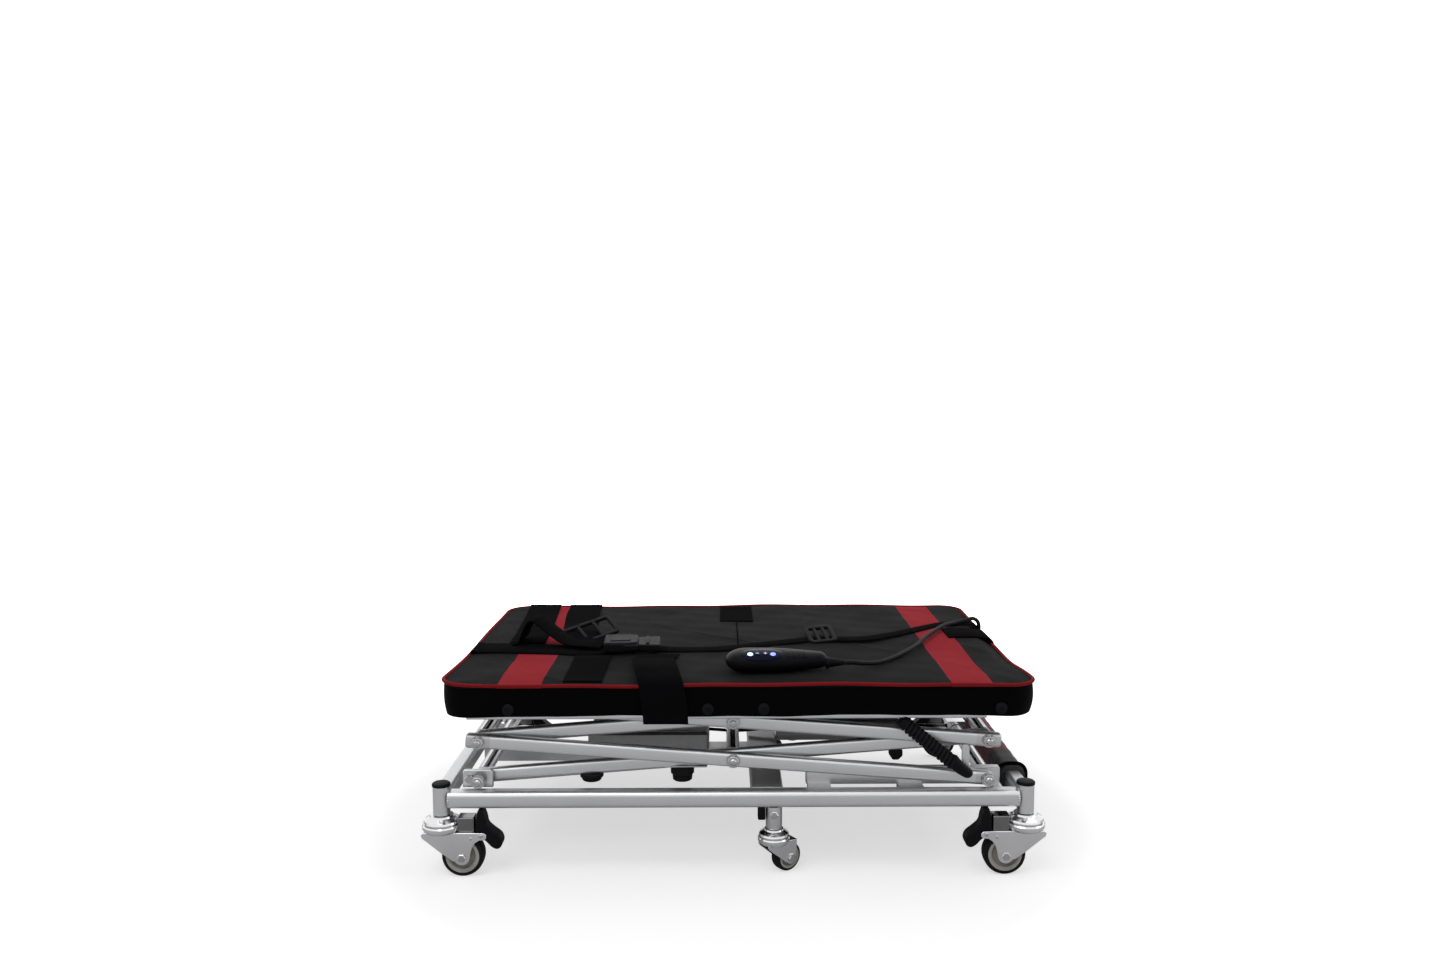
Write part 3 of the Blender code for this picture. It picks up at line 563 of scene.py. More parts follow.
def belts():
    x0, x1 = SEAT_LOW[0] - 1.9, SEAT_HIGH[0] + 5.2
    y0, y1 = SEAT_LOW[1] - 1.9, SEAT_HIGH[1] + 1.9
    side_z = PIPING_Z - 4
    left = [(x0, -46, 206), (x0 - 0.6, -48, side_z), (x0 + 4, -50, PIPING_Z + 4.0)]
    left += over_top([(x0 + 16, -52, 0.6), (-280, -55), (-230, -57), (-190, -59), (-150, -60, 1.2)])
    strap("belt_left", left, (0, 1, 0), stands_for=("seat_belt",))
    right = over_top([(-112, -60, 2.0), (-70, -60), (-20, -56), (30, -44), (80, -24), (118, -8, 1.0),
                      (150, -18, 1.6),
                      (185, -10, 1.4), (225, 22, 1.0), (262, 56), (300, 84), (330, 96, 0.6)])
    right += [(x1 - 5, 100, PIPING_Z - 0.6), (x1 - 0.6, 101, side_z - 6), (x1 - 1.0, 102, 206)]
    strap("belt_right", right, (0, 1, 0), 25.0, 110)
    anchor = over_top([(292, 26, 0.2), (312, 29, 0.6), (332, 32, 0.8)])
    anchor += [(x1 - 3, 34, PIPING_Z - 1.5), (x1 + 2.4, 35, side_z - 8), (x1 + 2.0, 36, 204)]
    strap("belt_anchor_right", anchor, (0, 1, 0), 54.0)
    far_left = [(-284, y1, 205), (-284, y1 + 0.6, side_z), (-284, y1 - 4, PIPING_Z + 4.0)]
    far_left += over_top([(-283, y1 - 16, 0.6), (-280, 160), (-276, 100), (-273, 40), (-271, 0, 0.6),
                          (-270, -30, 0.8)])
    strap("belt_left_far", far_left, (1, 0, 0), 47.0, 70)
    fold = over_top([(-284, -24, 1.8), (-276, -26, 6), (-270, -28, 20), (-263, -30, 33), (-256, -31, 35),
                     (-247, -31, 29),
                     (-234, -31, 19), (-220, -32, 10), (-206, -35, 6.5), (-188, -40, 6.0),
                     (-168, -44, 5.0)])
    strap("belt_fold_far", fold, (0.12, 1, 0), 46.0, 90)
    far_right = [(-222, y1, 205), (-222, y1 + 0.6, side_z), (-222, y1 - 4, PIPING_Z + 4.0)]
    far_right += over_top([(-221, y1 - 16, 0.6), (-219, 160), (-214, 100), (-208, 50, 3), (-200, 10, 8),
                           (-194, -20, 6),
                           (-190, -48, 3.4)])
    strap("belt_tail_far", far_right, (1, 0, 0), 49.0, 80)
    tab = over_top([(-176, -92, 1.6), (-176, -112, 1.6), (-176, -150), (-176, -190), (-175, -217, 0.4)])
    strap("belt_end_near", tab, (1, 0, 0), 46.0, 40)
    edge = over_top([(-92, -92, 1.0), (-98, -120, 3), (-96, -150, 8), (-92, -185, 11), (-88, -212, 9)])
    edge += [(-84, y0 - 0.5, PIPING_Z + 5), (-81, y0 - 3.5, 221), (-79, y0 - 2.2, 206),
             (-78, y0 - 0.8, 187)]
    strap("edge_strap_cloth", edge, (1, 0, 0), 52.0, 80, ("edge_strap",))
    patch = over_top([(8, 112, -0.4), (8, 150, -0.4), (8, 190, -0.4), (8, 216, -0.4)])
    strap("far_patch", patch, (1, 0, 0), 48.0, 30)
    seam = over_top([(8, -100 + 30 * k, -1.0) for k in range(8)])
    strap("top_seam", seam, (1, 0, 0), 2.2, 60)


def seat_place(x, y, turn, tilt=0.0, lift=0.0, tilt_across=0.0):
    """Maps a plate's own (x, y, z) onto the seat at a point, turned about Z and tilted (degrees)."""
    a, b, c = (math.radians(value) for value in (turn, tilt, tilt_across))
    spin = np.array([[math.cos(a), -math.sin(a), 0], [math.sin(a), math.cos(a), 0], [0, 0, 1]])
    rock = np.array([[math.cos(b), 0, -math.sin(b)], [0, 1, 0], [math.sin(b), 0, math.cos(b)]])
    roll = np.array([[1, 0, 0], [0, math.cos(c), -math.sin(c)], [0, math.sin(c), math.cos(c)]])
    origin = np.array([x, y, float(seat_height(x, y)) + lift])
    return lambda v: v @ (spin @ rock @ roll).T + origin


def ladder_frame(name, place, length, width):
    """A three-bar webbing adjuster: a rounded ring and a middle bar."""
    ring = rounded_profile(length - 6, width - 6, 5, 4)
    path = place(np.c_[ring, np.full(len(ring), 3.0)])
    up = place(np.array([[0, 0, 1.0]])) - place(np.array([[0, 0, 0.0]]))
    sweep(name, path, rounded_profile(6, 4.6, 1.6, 2), black_plastic(), "platform",
          up=up[0], closed=True)
    for number, x in enumerate((-length * 0.14, length * 0.16)):
        bar = place(np.array([[x, -width / 2 + 3, 3.0], [x, 0, 3.6], [x, width / 2 - 3, 3.0]]))
        sweep(f"{name}_bar_{number}", bar, rounded_profile(5, 3.6, 1.5, 2), black_plastic(), "platform",
              up=up[0])


def buckle():
    """Side-release buckle: hooded socket with side windows, sprung tongue arms and its webbing bar."""
    socket = seat_place(-143, -60, 3, 0, 3.2)
    shell = [(-22, -25), (-8, -27), (10, -26), (20, -23), (22, -18), (22, 18), (20, 23), (10, 26),
             (-8, 27), (-22, 25)]
    plate("buckle_socket", shell, 0.0, 13.5, socket, black_plastic(), "platform",
          ("belt_buckle",), 3.0)
    plate("buckle_socket_inset", [(-14, -15), (12, -13), (12, 13), (-14, 15)], 13.4, 14.4, socket,
          black_plastic(),
          "platform", bevel=0.5)
    for side in (-1, 1):
        press = [(2, side * 20), (21, side * 19), (22, side * 27), (8, side * 28.5), (2, side * 27)]
        plate(f"buckle_press_{'far' if side > 0 else 'near'}", press, 3.0, 10.5, socket, black_plastic(),
              "platform",
              bevel=1.4)
    tongue = seat_place(-107, -60, 3, 0, 3.2)
    body = [(-15, -22), (6, -25), (14, -25), (14, 25), (6, 25), (-15, 22)]
    plate("buckle_tongue", body, 1.0, 9.5, tongue, black_plastic(), "platform", bevel=1.8)
    plate("buckle_tongue_rib", [(-4, -19), (0, -19), (0, 19), (-4, 19)], 9.4, 11.4, tongue, black_plastic(),
          "platform", bevel=0.7)
    ladder_frame("belt_adjuster", seat_place(-190, 0, 24, 14, 9.0, 16), 72, 48)
    ladder_frame("belt_slider", seat_place(119, -6, 8, 4, 4.0, 14), 38, 46)


# ---------------------------------------------------------------- hand control and leads

HANDSET_LOW, HANDSET_HIGH = node_box("handset")
HANDSET_Y = (HANDSET_LOW[1] + HANDSET_HIGH[1]) / 2
RELIEF_END = HANDSET_HIGH[0]


def handset_point(x, turn, lift=0.0):
    """The handset's skin: a flattened oval section whose width and height follow its length; turn is degrees from far."""
    x = np.asarray(x, float)
    t = (x - HANDSET_LOW[0]) / 122.0
    body = np.clip(t, 0, 1)
    end = np.sqrt(np.clip(1 - np.clip(1 - body / 0.22, 0, 1) ** 2.3, 0, 1))
    taper = 1 - 0.58 * np.clip((body - 0.42) / 0.58, 0, 1) ** 1.6
    close = np.sqrt(np.clip(1 - np.clip((body - 0.93) / 0.075, 0, 1) ** 2, 0.0, 1))
    wide = 24.5 * end * taper * close
    high = 13.2 * end * (1 - 0.34 * np.clip((body - 0.45) / 0.55, 0, 1) ** 1.3) * close
    a = np.radians(turn)
    c, s = np.cos(a), np.sin(a)
    power = 0.82
    y = HANDSET_Y + (wide + lift) * np.sign(c) * np.abs(c) ** power
    z = 246.6 + (high + lift) * np.sign(s) * np.abs(s) ** power
    return np.stack(np.broadcast_arrays(x, y, z), -1)


def handset_patch(name, x, turn, half_x, half_turn, lift, material, body="platform",
                  corner=2.0,
                  stands_for=()):
    """A thin raised patch on the handset: rings of a superellipse, its rim sunk into the skin."""
    angle = np.linspace(0, 2 * math.pi, 48, endpoint=False)[None]
    ring = np.array([[0.01, 1.0], [0.5, 1.0], [0.8, 0.95], [0.94, 0.8], [1.0, 0.3], [1.0, -2.0]])
    shape = lambda value: np.sign(value) * np.abs(value) ** (2 / corner)
    px = x + half_x * ring[:, :1] * shape(np.cos(angle))
    pt = turn + half_turn * ring[:, :1] * shape(np.sin(angle))
    points = handset_point(px, pt, lift * ring[:, 1:])
    return add_mesh(name, points, closed_grid(points), material, body, stands_for, 50.0)


def control_shell():
    return moulded_plastic("control_shell", 0.005, 0.005, 0.006, 0.36, 0.08)


def control_face():
    return moulded_plastic("control_face", 0.002, 0.003, 0.014, 0.14, 0.02, 1.18)


# Painted glow: the − and + marks on the keys emit a pale blue light of their own so they read as lit.
def painted_glow_mark():
    return glow("painted_glow_mark", 0.42, 0.52, 1.0, 0.8)


def handset():
    x = HANDSET_LOW[0] + 122.0 * (0.5 - 0.5 * np.cos(np.linspace(0.02, math.pi - 0.02, 90)))
    points = handset_point(x[:, None], np.linspace(0, 360, 72, endpoint=False)[None])
    shell = finish(control_shell)
    add_mesh("handset_shell", points, closed_grid(points), shell, "platform",
             ("handset",), 60.0)
    handset_patch("handset_face", 34.5, 128, 24.5, 38, 0.9, finish(control_face), corner=2.4)
    handset_patch("handset_grip", 76.0, 124, 15.0, 28, 0.5, shell, corner=3.2)
    for number in range(4):
        handset_patch(f"handset_rib_{number}", 67.0 + 6 * number, 124, 1.2, 22, 1.1, shell, corner=3.0)
    blue = finish(blue_light)
    pale = finish(pale_blue_light)
    handset_patch("light_left", 20.5, 130, 3.4, 9.0, 1.7, pale)
    handset_patch("light_right", 47.5, 130, 3.4, 9.0, 1.7, blue)
    # The key marks take the painted glow: emitted light stands in for how brightly they are lit.
    mark = finish(painted_glow_mark)
    for name, centre in (("key_down", 29.0), ("key_up", 38.5)):
        handset_patch(name + "_cap", centre, 126, 4.2, 13, 1.5, shell, name,
                      stands_for=(name,))
        handset_patch(name + "_bar", centre, 126, 2.3, 1.8, 1.9, mark, name, 6.0)
    handset_patch("key_up_stem", 38.5, 126, 0.5, 7.0, 1.9, mark, "key_up", 6.0)
    stations = [(0, 6.8), (3, 7.2)]
    for step in range(7):
        start, radius = 4 + 2.5 * step, 6.4 - 0.45 * step
        stations += [(start, radius), (start + 1.3, radius), (start + 1.5, radius - 1.2),
                     (start + 2.3, radius - 1.2)]
    stations += [(21.5, 3.2), (23.5, 3.0)]
    turned("handset_relief", stations, (RELIEF_END - 24, HANDSET_Y, 243.0), (1, 0, 0), black_plastic(),
           "platform",
           sides=28, smooth=25)


def blue_light():
    return glow("blue_light", 0.02, 0.05, 1.0, 3.0)


def pale_blue_light():
    return glow("pale_blue_light", 0.22, 0.55, 1.0, 3.4)


def lead_cover():
    return moulded_plastic("lead_cover", 0.010, 0.010, 0.011, 0.46, 0.05)


CORD_DIAMETER = 5.5
EXIT = (RELIEF_END + 0.3, HANDSET_Y, 243.0)
CORD_ROUTE = [EXIT, (EXIT[0] + 9, HANDSET_Y, 243.0), (157.0, -162.0, 240.5), (176.0, -148.0, 237.5),
              (196.0, -124.0, 236.4), (218.0, -92.0, 236.4), (240.0, -56.0, 237.5), (256.0, -22.0, 239.2),
              (276.0, 18.0, 239.4), (298.0, 56.0, 239.4), (316.0, 80.0, 237.0), (333.0, 93.0, 237.6),
              (346.0, 102.0, 238.4), (354.0, 108.0, 234.0), (357.5, 111.0, 226.0), (357.5, 113.0, 215.0),
              (356.5, 113.0, 204.0), (354.0, 113.0, 193.0), (347.5, 113.0, 184.5), (338.5, 113.0, 182.5),
              (331.5, 113.0, 188.5), (329.5, 113.0, 200.0), (330.0, 113.0, 212.5)]


def handset_lead():
    """The hand control's cord: out of its relief, over the right edge and up under the board."""
    route = spline(CORD_ROUTE, 160)
    piece = sweep("handset_lead", route, round_profile(CORD_DIAMETER / 2, 14), finish(lead_cover),
                  "platform",
                  ("handset_cord",), up=(0.05, 0.08, 1.0))
    tuple(value * MM for value in EXIT)


def curly_lead():
    """The curly lead under the platform: a helix round a sagging axis, between platform and upper arm."""
    axis = spline([(201.0, -211.0, 181.5), (208.0, -211.5, 175.0), (229.0, -212.0, 157.5),
                   (249.0, -212.0, 141.0),
                   (259.0, -212.0, 133.0)], 900)
    tangent = np.gradient(axis, axis=0)
    tangent /= np.linalg.norm(tangent, axis=1)[:, None]
    first = np.cross(tangent, (0, 1, 0))
    first /= np.linalg.norm(first, axis=1)[:, None]
    second = np.cross(tangent, first)
    turn = np.linspace(0, 2 * math.pi * 14, len(axis))[:, None]
    path = axis + 6.3 * (np.cos(turn) * first + np.sin(turn) * second)
    piece = sweep("curly_lead", path, round_profile(2.5, 8), finish(lead_cover), None,
                  ("coil_lead",),
                  up=(0.03, 1.0, 0.04))
    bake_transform(piece)
    elbow = spline([(256.0, -212.0, 137.0), (262.5, -211.5, 130.5), (269.0, -210.0, 125.0),
                    (274.5, -208.5, 121.0),
                    (276.5, -205.0, 119.5)], 30)
    sweep("lead_elbow", elbow, round_profile(8.4, 20), black_plastic(), "upper_outer",
          ("lead_clip",),
          up=(0, 1, 0), scale=np.linspace(1.0, 0.72, 30)[:, None])
    tab = lambda v: np.stack([v[:, 0], -200.2 + v[:, 2], v[:, 1]], 1)
    plate("lead_tab", [(270, 118), (279, 118), (279, 148), (277, 152), (272, 152), (270, 148)], -0.6, 1.4,
          tab,
          aluminium(), "upper_outer", bevel=0.5)
    below = turned("lead_socket", [(0, 8.6), (4, 8.6), (7, 7.0), (9, 3.0)], (201.0, -211.0, 181.0),
                   (-0.6, 0, 0.8),
                   black_plastic(), "platform", sides=28)
    return below


# ---------------------------------------------------------------- scissor arms and pins

LEFT_LOW, RIGHT_LOW = pin("lift"), pin("drive_pin")
RIGHT_MIDDLE, LEFT_TOP = pin("middle_pin"), pin("platform_pin")
LEFT_MIDDLE = np.array([LEFT_LOW[0], 0, RIGHT_MIDDLE[2]])
RIGHT_TOP = np.array([RIGHT_MIDDLE[0], 0, LEFT_TOP[2]])
ARM_ENDS = {
    "lower_inner": (LEFT_LOW, RIGHT_MIDDLE, 8.4, 8.4), "lower_outer": (LEFT_MIDDLE, RIGHT_LOW, 15.0, 8.4),
    "upper_outer": (LEFT_TOP, RIGHT_MIDDLE, 8.4, 15.0), "upper_inner": (LEFT_MIDDLE, RIGHT_TOP, 8.4, 8.4),
}


def arm(name, kind, side):
    """A drawn tube between two pins, with a cast end cap past each seam."""
    start, end, before, after = ARM_ENDS[kind]
    low, high = node_box(name)
    y = (low[1] + high[1]) / 2
    start, end = np.array([start[0], y, start[2]]), np.array([end[0], y, end[2]])
    length = np.linalg.norm(end - start)
    along = (end - start) / length
    up = np.cross(along, (0, 1, 0)) * (1 if along[0] < 0 else -1)
    up = up if up[2] > 0 else -up
    tube = rounded_profile(12.0, 16.8, 3.8, 6)
    seam = 14.0
    stations = np.array([seam, length - seam])
    path = start + stations[:, None] * along
    cad = (name,)
    sweep(name + "_tube", path, tube, aluminium(), kind, cad, up=up, smooth=50)
    cast = finish(brushed_metal, "cast_ends", 0.5, (30, 30, 30), 0.42)
    for word, centre, direction, reach in (("start", start, -along, before), ("end", end, along, after)):
        if reach > 10:
            steps = np.array([-14.2, -13.2, reach - 3.0, reach - 1.0, reach])
            sizes = np.array([[0.94, 0.96], [1.0, 1.02], [1.0, 1.02], [0.95, 0.95], [0.8, 0.82]])
        else:
            steps = reach * np.sin(np.linspace(-math.pi / 2, math.pi / 2, 15))
            steps = np.r_[-14.2, steps[steps > -1.0]]
            sizes = np.stack([np.full(len(steps), 1.0),
                              np.sqrt(np.clip(1 - np.clip(steps / (reach + 0.05), 0, 1) ** 2, 0.01, 1))], 1)
        sweep(f"{name}_cap_{word}", centre + steps[:, None] * direction, tube, cast, kind,
              up=up,
              scale=sizes, smooth=50)


def arms():
    for kind in ARM_ENDS:
        for word, side in (("near", -1), ("far", 1)):
            arm(f"arm_{kind}_{word}", kind, side)


PINS = {
    "shaft_base_left": "lower_inner", "shaft_lower_centre": "lower_inner",
    "shaft_middle_left": "lower_outer",
    "shaft_middle_right": "upper_outer", "shaft_upper_centre": "upper_outer",
    "shaft_base_slide": "carriage",
}


def zinc():
    return finish(chromed_steel, "zinc_plate", 0.42)


def bolt_heads():
    """A washer, a hexagon nut and the bolt's domed end on each pin, over the CAD head."""
    for shaft, body in PINS.items():
        low, high = node_box(shaft)
        centre = (low + high) / 2
        for word, side, tip in (("near", -1, low[1]), ("far", 1, high[1])):
            at = (centre[0], tip - side * 5.2, centre[2])
            turned(f"{shaft}_washer_{word}", [(0, 4), (0, 8.2), (1.2, 8.2), (1.2, 4)], at, (0, side, 0),
                   zinc(), body,
                   sides=30)
            hexagon = round_profile(7.6, 6)
            place = lambda v, at=at, side=side: np.stack([at[0] + v[:, 0], at[1] + side * v[:, 2],
                                                          at[2] + v[:, 1]], 1)
            plate(f"{shaft}_nut_{word}", hexagon, 1.2, 5.6, place, zinc(), body, bevel=0.8)
            turned(f"{shaft}_tip_{word}", [(5, 4.2), (6.6, 4.1), (7.4, 3.2), (7.7, 1.6), (7.8, 0.2)], at,
                   (0, side, 0),
                   zinc(), body, sides=20)


def rubber_stops():
    """Two buffers and a cable clip under each lower inner arm."""
    for word, side in (("near", -1), ("far", 1)):
        low, high = node_box("arm_lower_inner_" + word)
        y = (low[1] + high[1]) / 2
        for number, (x, height) in enumerate(((-170.0, 8.5), (-61.0, 16.0))):
            top = 102.8 + height + 0.6
            stations = [(0, 13.2), (0.8, 14.2), (height * 0.45, 14.0), (height * 0.55, 12.2),
                        (height - 1, 11.6), (height, 10.4)]
            turned(f"stop_{word}_{number}", stations, (x, y, top), (0, 0, -1), finish(lead_cover),
                   "lower_inner",
                   sides=36)
            if number:
                plate(f"stop_plate_{word}", rounded_profile(52, 12, 3, 3), 0, 1.6,
                      lambda v, x=x, y=y, top=top: v + np.array([x + 4, y, top]), aluminium(),
                      "lower_inner")
        plate(f"cable_clip_{word}", [(-8, 6), (8, 6), (8, -1), (3, -6), (-4, -6), (-8, 0)], -5, 5,
              lambda v, y=y: np.stack([195 + v[:, 0], y + v[:, 2], 133.6 + v[:, 1]], 1), black_plastic(),
              "lower_inner",
              bevel=1.2)


# ---------------------------------------------------------------- base

def weld_bead(name, centre, axis, radius, width, turns, material, body="base"):
    """A rippled ring of weld metal."""
    count = 120
    angle = np.linspace(0, 2 * math.pi, count, endpoint=False)
    axis = np.asarray(axis, float)
    first = np.array([0, 0, 1.0]) if abs(axis[2]) < 0.5 else np.array([1.0, 0, 0])
    second = np.cross(axis, first)
    path = np.asarray(centre) + radius[0] * np.cos(angle)[:, None] * first + radius[1] * np.sin(angle)[:, None] * second
    sizes = width * (1 + 0.18 * np.sin(angle * turns))[:, None]
    sweep(name, path, round_profile(1.0, 8), material, body, up=axis, scale=sizes, closed=True)


def base_frame():
    metal, across = aluminium(), aluminium_across()
    cast = finish(brushed_metal, "weld_metal", 0.5, (40, 40, 40), 0.4)
    for side_word, side in (("near", -1), ("far", 1)):
        rail = "base_rail_" + side_word
        low, high = node_box(rail)
        y = side * (abs(high[1] if side > 0 else low[1]) - 10.0)
        tube = np.array([[low[0] - 1.5, y, 92.0], [high[0] + 1.5, y, 92.0]])
        sweep(rail + "_tube", tube, rounded_profile(20, 20, 5.6, 8), metal, "base", (rail,),
              smooth=50)
        stub_x = pin("middle_swivel_" + side_word)[0]
        turned(rail + "_stub", [(55.4, 9.3), (56.2, 9.7), (82.4, 9.7)], (stub_x, y, 0), (0, 0, 1), metal,
               "base")
        turned(rail + "_stub_bolt", [(8.5, 5.0), (11.2, 5.0), (11.9, 4.0), (12.0, 0.3)], (stub_x, y, 74.0),
               (0, side, 0), zinc(), "base", sides=6)
        plate(rail + "_stub_block", rounded_profile(9, 15, 1.5, 3), -6, 6,
              lambda v, y=y: np.stack([33 + v[:, 0], y + v[:, 2], 74 + v[:, 1]], 1), black_plastic(),
              "base")
        flip = side
        plate(rail + "_lug", [(-322, 100), (-286, 100), (-286, 119), (-288, 121), (-320, 121),
                              (-322, 119)], 188.6, 194.5,
              lambda v, flip=flip: np.stack([v[:, 0], flip * v[:, 2], v[:, 1]], 1), metal, "base")
        turned(rail + "_lug_bolt", [(194.3, 5.5), (197.5, 5.5), (198.6, 4.5), (198.8, 0.3)],
               (-313.5, 0, 111),
               (0, side, 0), zinc(), "base", sides=6)
    for end_word, x in (("left", -344.0), ("right", 344.0)):
        end = "base_end_" + end_word
        tube = np.array([[x, -200.5, 92.0], [x, 200.5, 92.0]])
        sweep(end + "_tube", tube, rounded_profile(20, 20, 5.6, 8), across, "base", (end,),
              smooth=50)
        for side_word, y in (("near", -209.0), ("far", 209.0)):
            name = f"{end}_post_{side_word}"
            turned(name, [(73.3, 9.2), (74.0, 10), (107.6, 10), (108.0, 9.6)], (x, y, 0), (0, 0, 1),
                   metal, "base")
            cap = [(107.6, 10.6), (108.4, 10.9), (110.4, 10.7), (111.4, 9.6), (111.8, 7), (111.9, 0.3)]
            turned(name + "_cap", cap, (x, y, 0), (0, 0, 1), black_plastic(), "base")
            inward = 1 if x < 0 else -1
            weld_bead(name + "_weld", (x + inward * 9.6, y, 92.0), (1, 0, 0), (10.2, 9.6), 1.5, 26, cast)
    for side_word in ("near", "far"):
        NODES["slide_track_" + side_word].data.materials.clear()
        NODES["slide_track_" + side_word].data.materials.append(metal)


def grip():
    """Padded wrap on the right end tube: soft oval section with a red panel and stitched ends."""
    low, high = node_box("grip_sleeve")
    centre = (low + high) / 2
    y = np.linspace(low[1], high[1], 90)
    t = np.linspace(-1, 1, 90)
    swell = 0.93 + 0.06 * np.sqrt(np.clip(1 - t ** 8, 0,
                                          1)) + 0.012 * np.sin(y * 0.21) + 0.008 * np.sin(y * 0.53)
    path = np.c_[np.full(90, centre[0]), y, np.full(90, centre[2])]
    sweep("grip_wrap", path, rounded_profile(32, 32, 11, 7), finish(grip_cloth), "base",
          ("grip_sleeve",),
          scale=swell[:, None], smooth=60)
    for number, at in enumerate((low[1] + 5, high[1] - 5)):
        ring = rounded_profile(31.6, 31.6, 11, 7)
        path = np.c_[centre[0] + ring[:, 0], np.full(len(ring), at), centre[2] + ring[:, 1]]
        sweep(f"grip_hem_{number}", path, rounded_profile(8, 1.6, 0.6, 2), webbing_black(), "base",
              up=(0, 1, 0.001),
              closed=True)


def grip_cloth():
    paint = Paint("grip_cloth")
    _, y, _ = paint.axes()
    weave = paint.wave(300.0, "Y") * 0.5 + paint.wave(300.0, "X") * 0.5
    cloud = paint.noise(40.0, 3.0)
    red = paint.blend(cloud, colour(0.15, 0.010, 0.016), colour(0.07, 0.006, 0.010))
    panel = (y > -0.085) * (y < 0.085)
    paint.feed("Base Color", paint.blend(panel, colour(0.012, 0.012, 0.013), red))
    paint.feed("Roughness", 0.66 + cloud * 0.14)
    paint.relief(weave * 0.5 + cloud * 0.5, 0.5, 0.6)
    return paint.material


def drive():
    casing = finish(brushed_metal, "drive_casing", 0.30, (20, 20, 20), 0.5)
    for node, material in (("actuator", casing), ("battery_box", casing),
                           ("actuator_rod", finish(chromed_steel)), ("base_beam", aluminium_across()),
                           ("seat_board", aluminium())):
        NODES[node].data.materials.clear()
        NODES[node].data.materials.append(material)
    for side_word in ("near", "far"):
        NODES["platform_rail_" + side_word].data.materials.clear()
        NODES["platform_rail_" + side_word].data.materials.append(aluminium())
        low, high = node_box("platform_rail_" + side_word)
        side = -1 if side_word == "near" else 1
        y = side * 212.6
        path = np.array([[-311.0, y, 191.2], [295.0, y, 191.2]])
        sweep("platform_lip_" + side_word, path, rounded_profile(3.6, 6.2, 1.6, 4), aluminium(),
              "platform", smooth=50)
        low, high = node_box("arm_lower_inner_" + side_word)
    for shaft in list(PINS) + ["shaft_top_left", "shaft_top_slide"]:
        NODES[shaft].data.materials.clear()
        NODES[shaft].data.materials.append(finish(chromed_steel, "shaft_steel", 0.5))
    low, high = node_box("battery_box")
    top = high[2]
    plate("battery_lid", rounded_profile(150, 68, 6, 4), 0.0, 2.0,
          lambda v: v + np.array([-111.0, 0, top]), casing,
          "base", bevel=0.8)
    cable = spline([(-31.0, 8.0, 107.0), (-20.0, 8.5, 106.0), (0.0, 9.0, 104.5), (20.0, 9.0, 105.0),
                    (40.0, 9.0, 107.0),
                    (60.0, 9.0, 108.0)], 40)
    sweep("drive_cable", cable, round_profile(2.2, 12), finish(lead_cover), "base")


# ---------------------------------------------------------------- castors

def castor_frame(joint_swivel, joint_roll):
    """Maps castor coordinates (x along the trail, y across, z up from the floor) to the row frame."""
    swivel, roll = pin(joint_swivel), pin(joint_roll)
    trail = roll[:2] - swivel[:2]
    reach = np.linalg.norm(trail)
    along = np.array([*(trail / reach), 0.0])
    across = np.array([-along[1], along[0], 0.0])
    origin = np.array([swivel[0], swivel[1], 0.0])
    return (lambda v: origin + v[:, :1] * along + v[:, 1:2] * across + v[:, 2:] * np.array([0, 0, 1.0])), along, across, reach


def tyre_rubber():
    return moulded_plastic("tyre_rubber", 0.012, 0.012, 0.013, 0.58, 0.25)


def pale_hub():
    return moulded_plastic("pale_hub", 0.36, 0.35, 0.33, 0.4, 0.05)


def dark_hub():
    return moulded_plastic("dark_hub", 0.24, 0.215, 0.195, 0.38, 0.05)


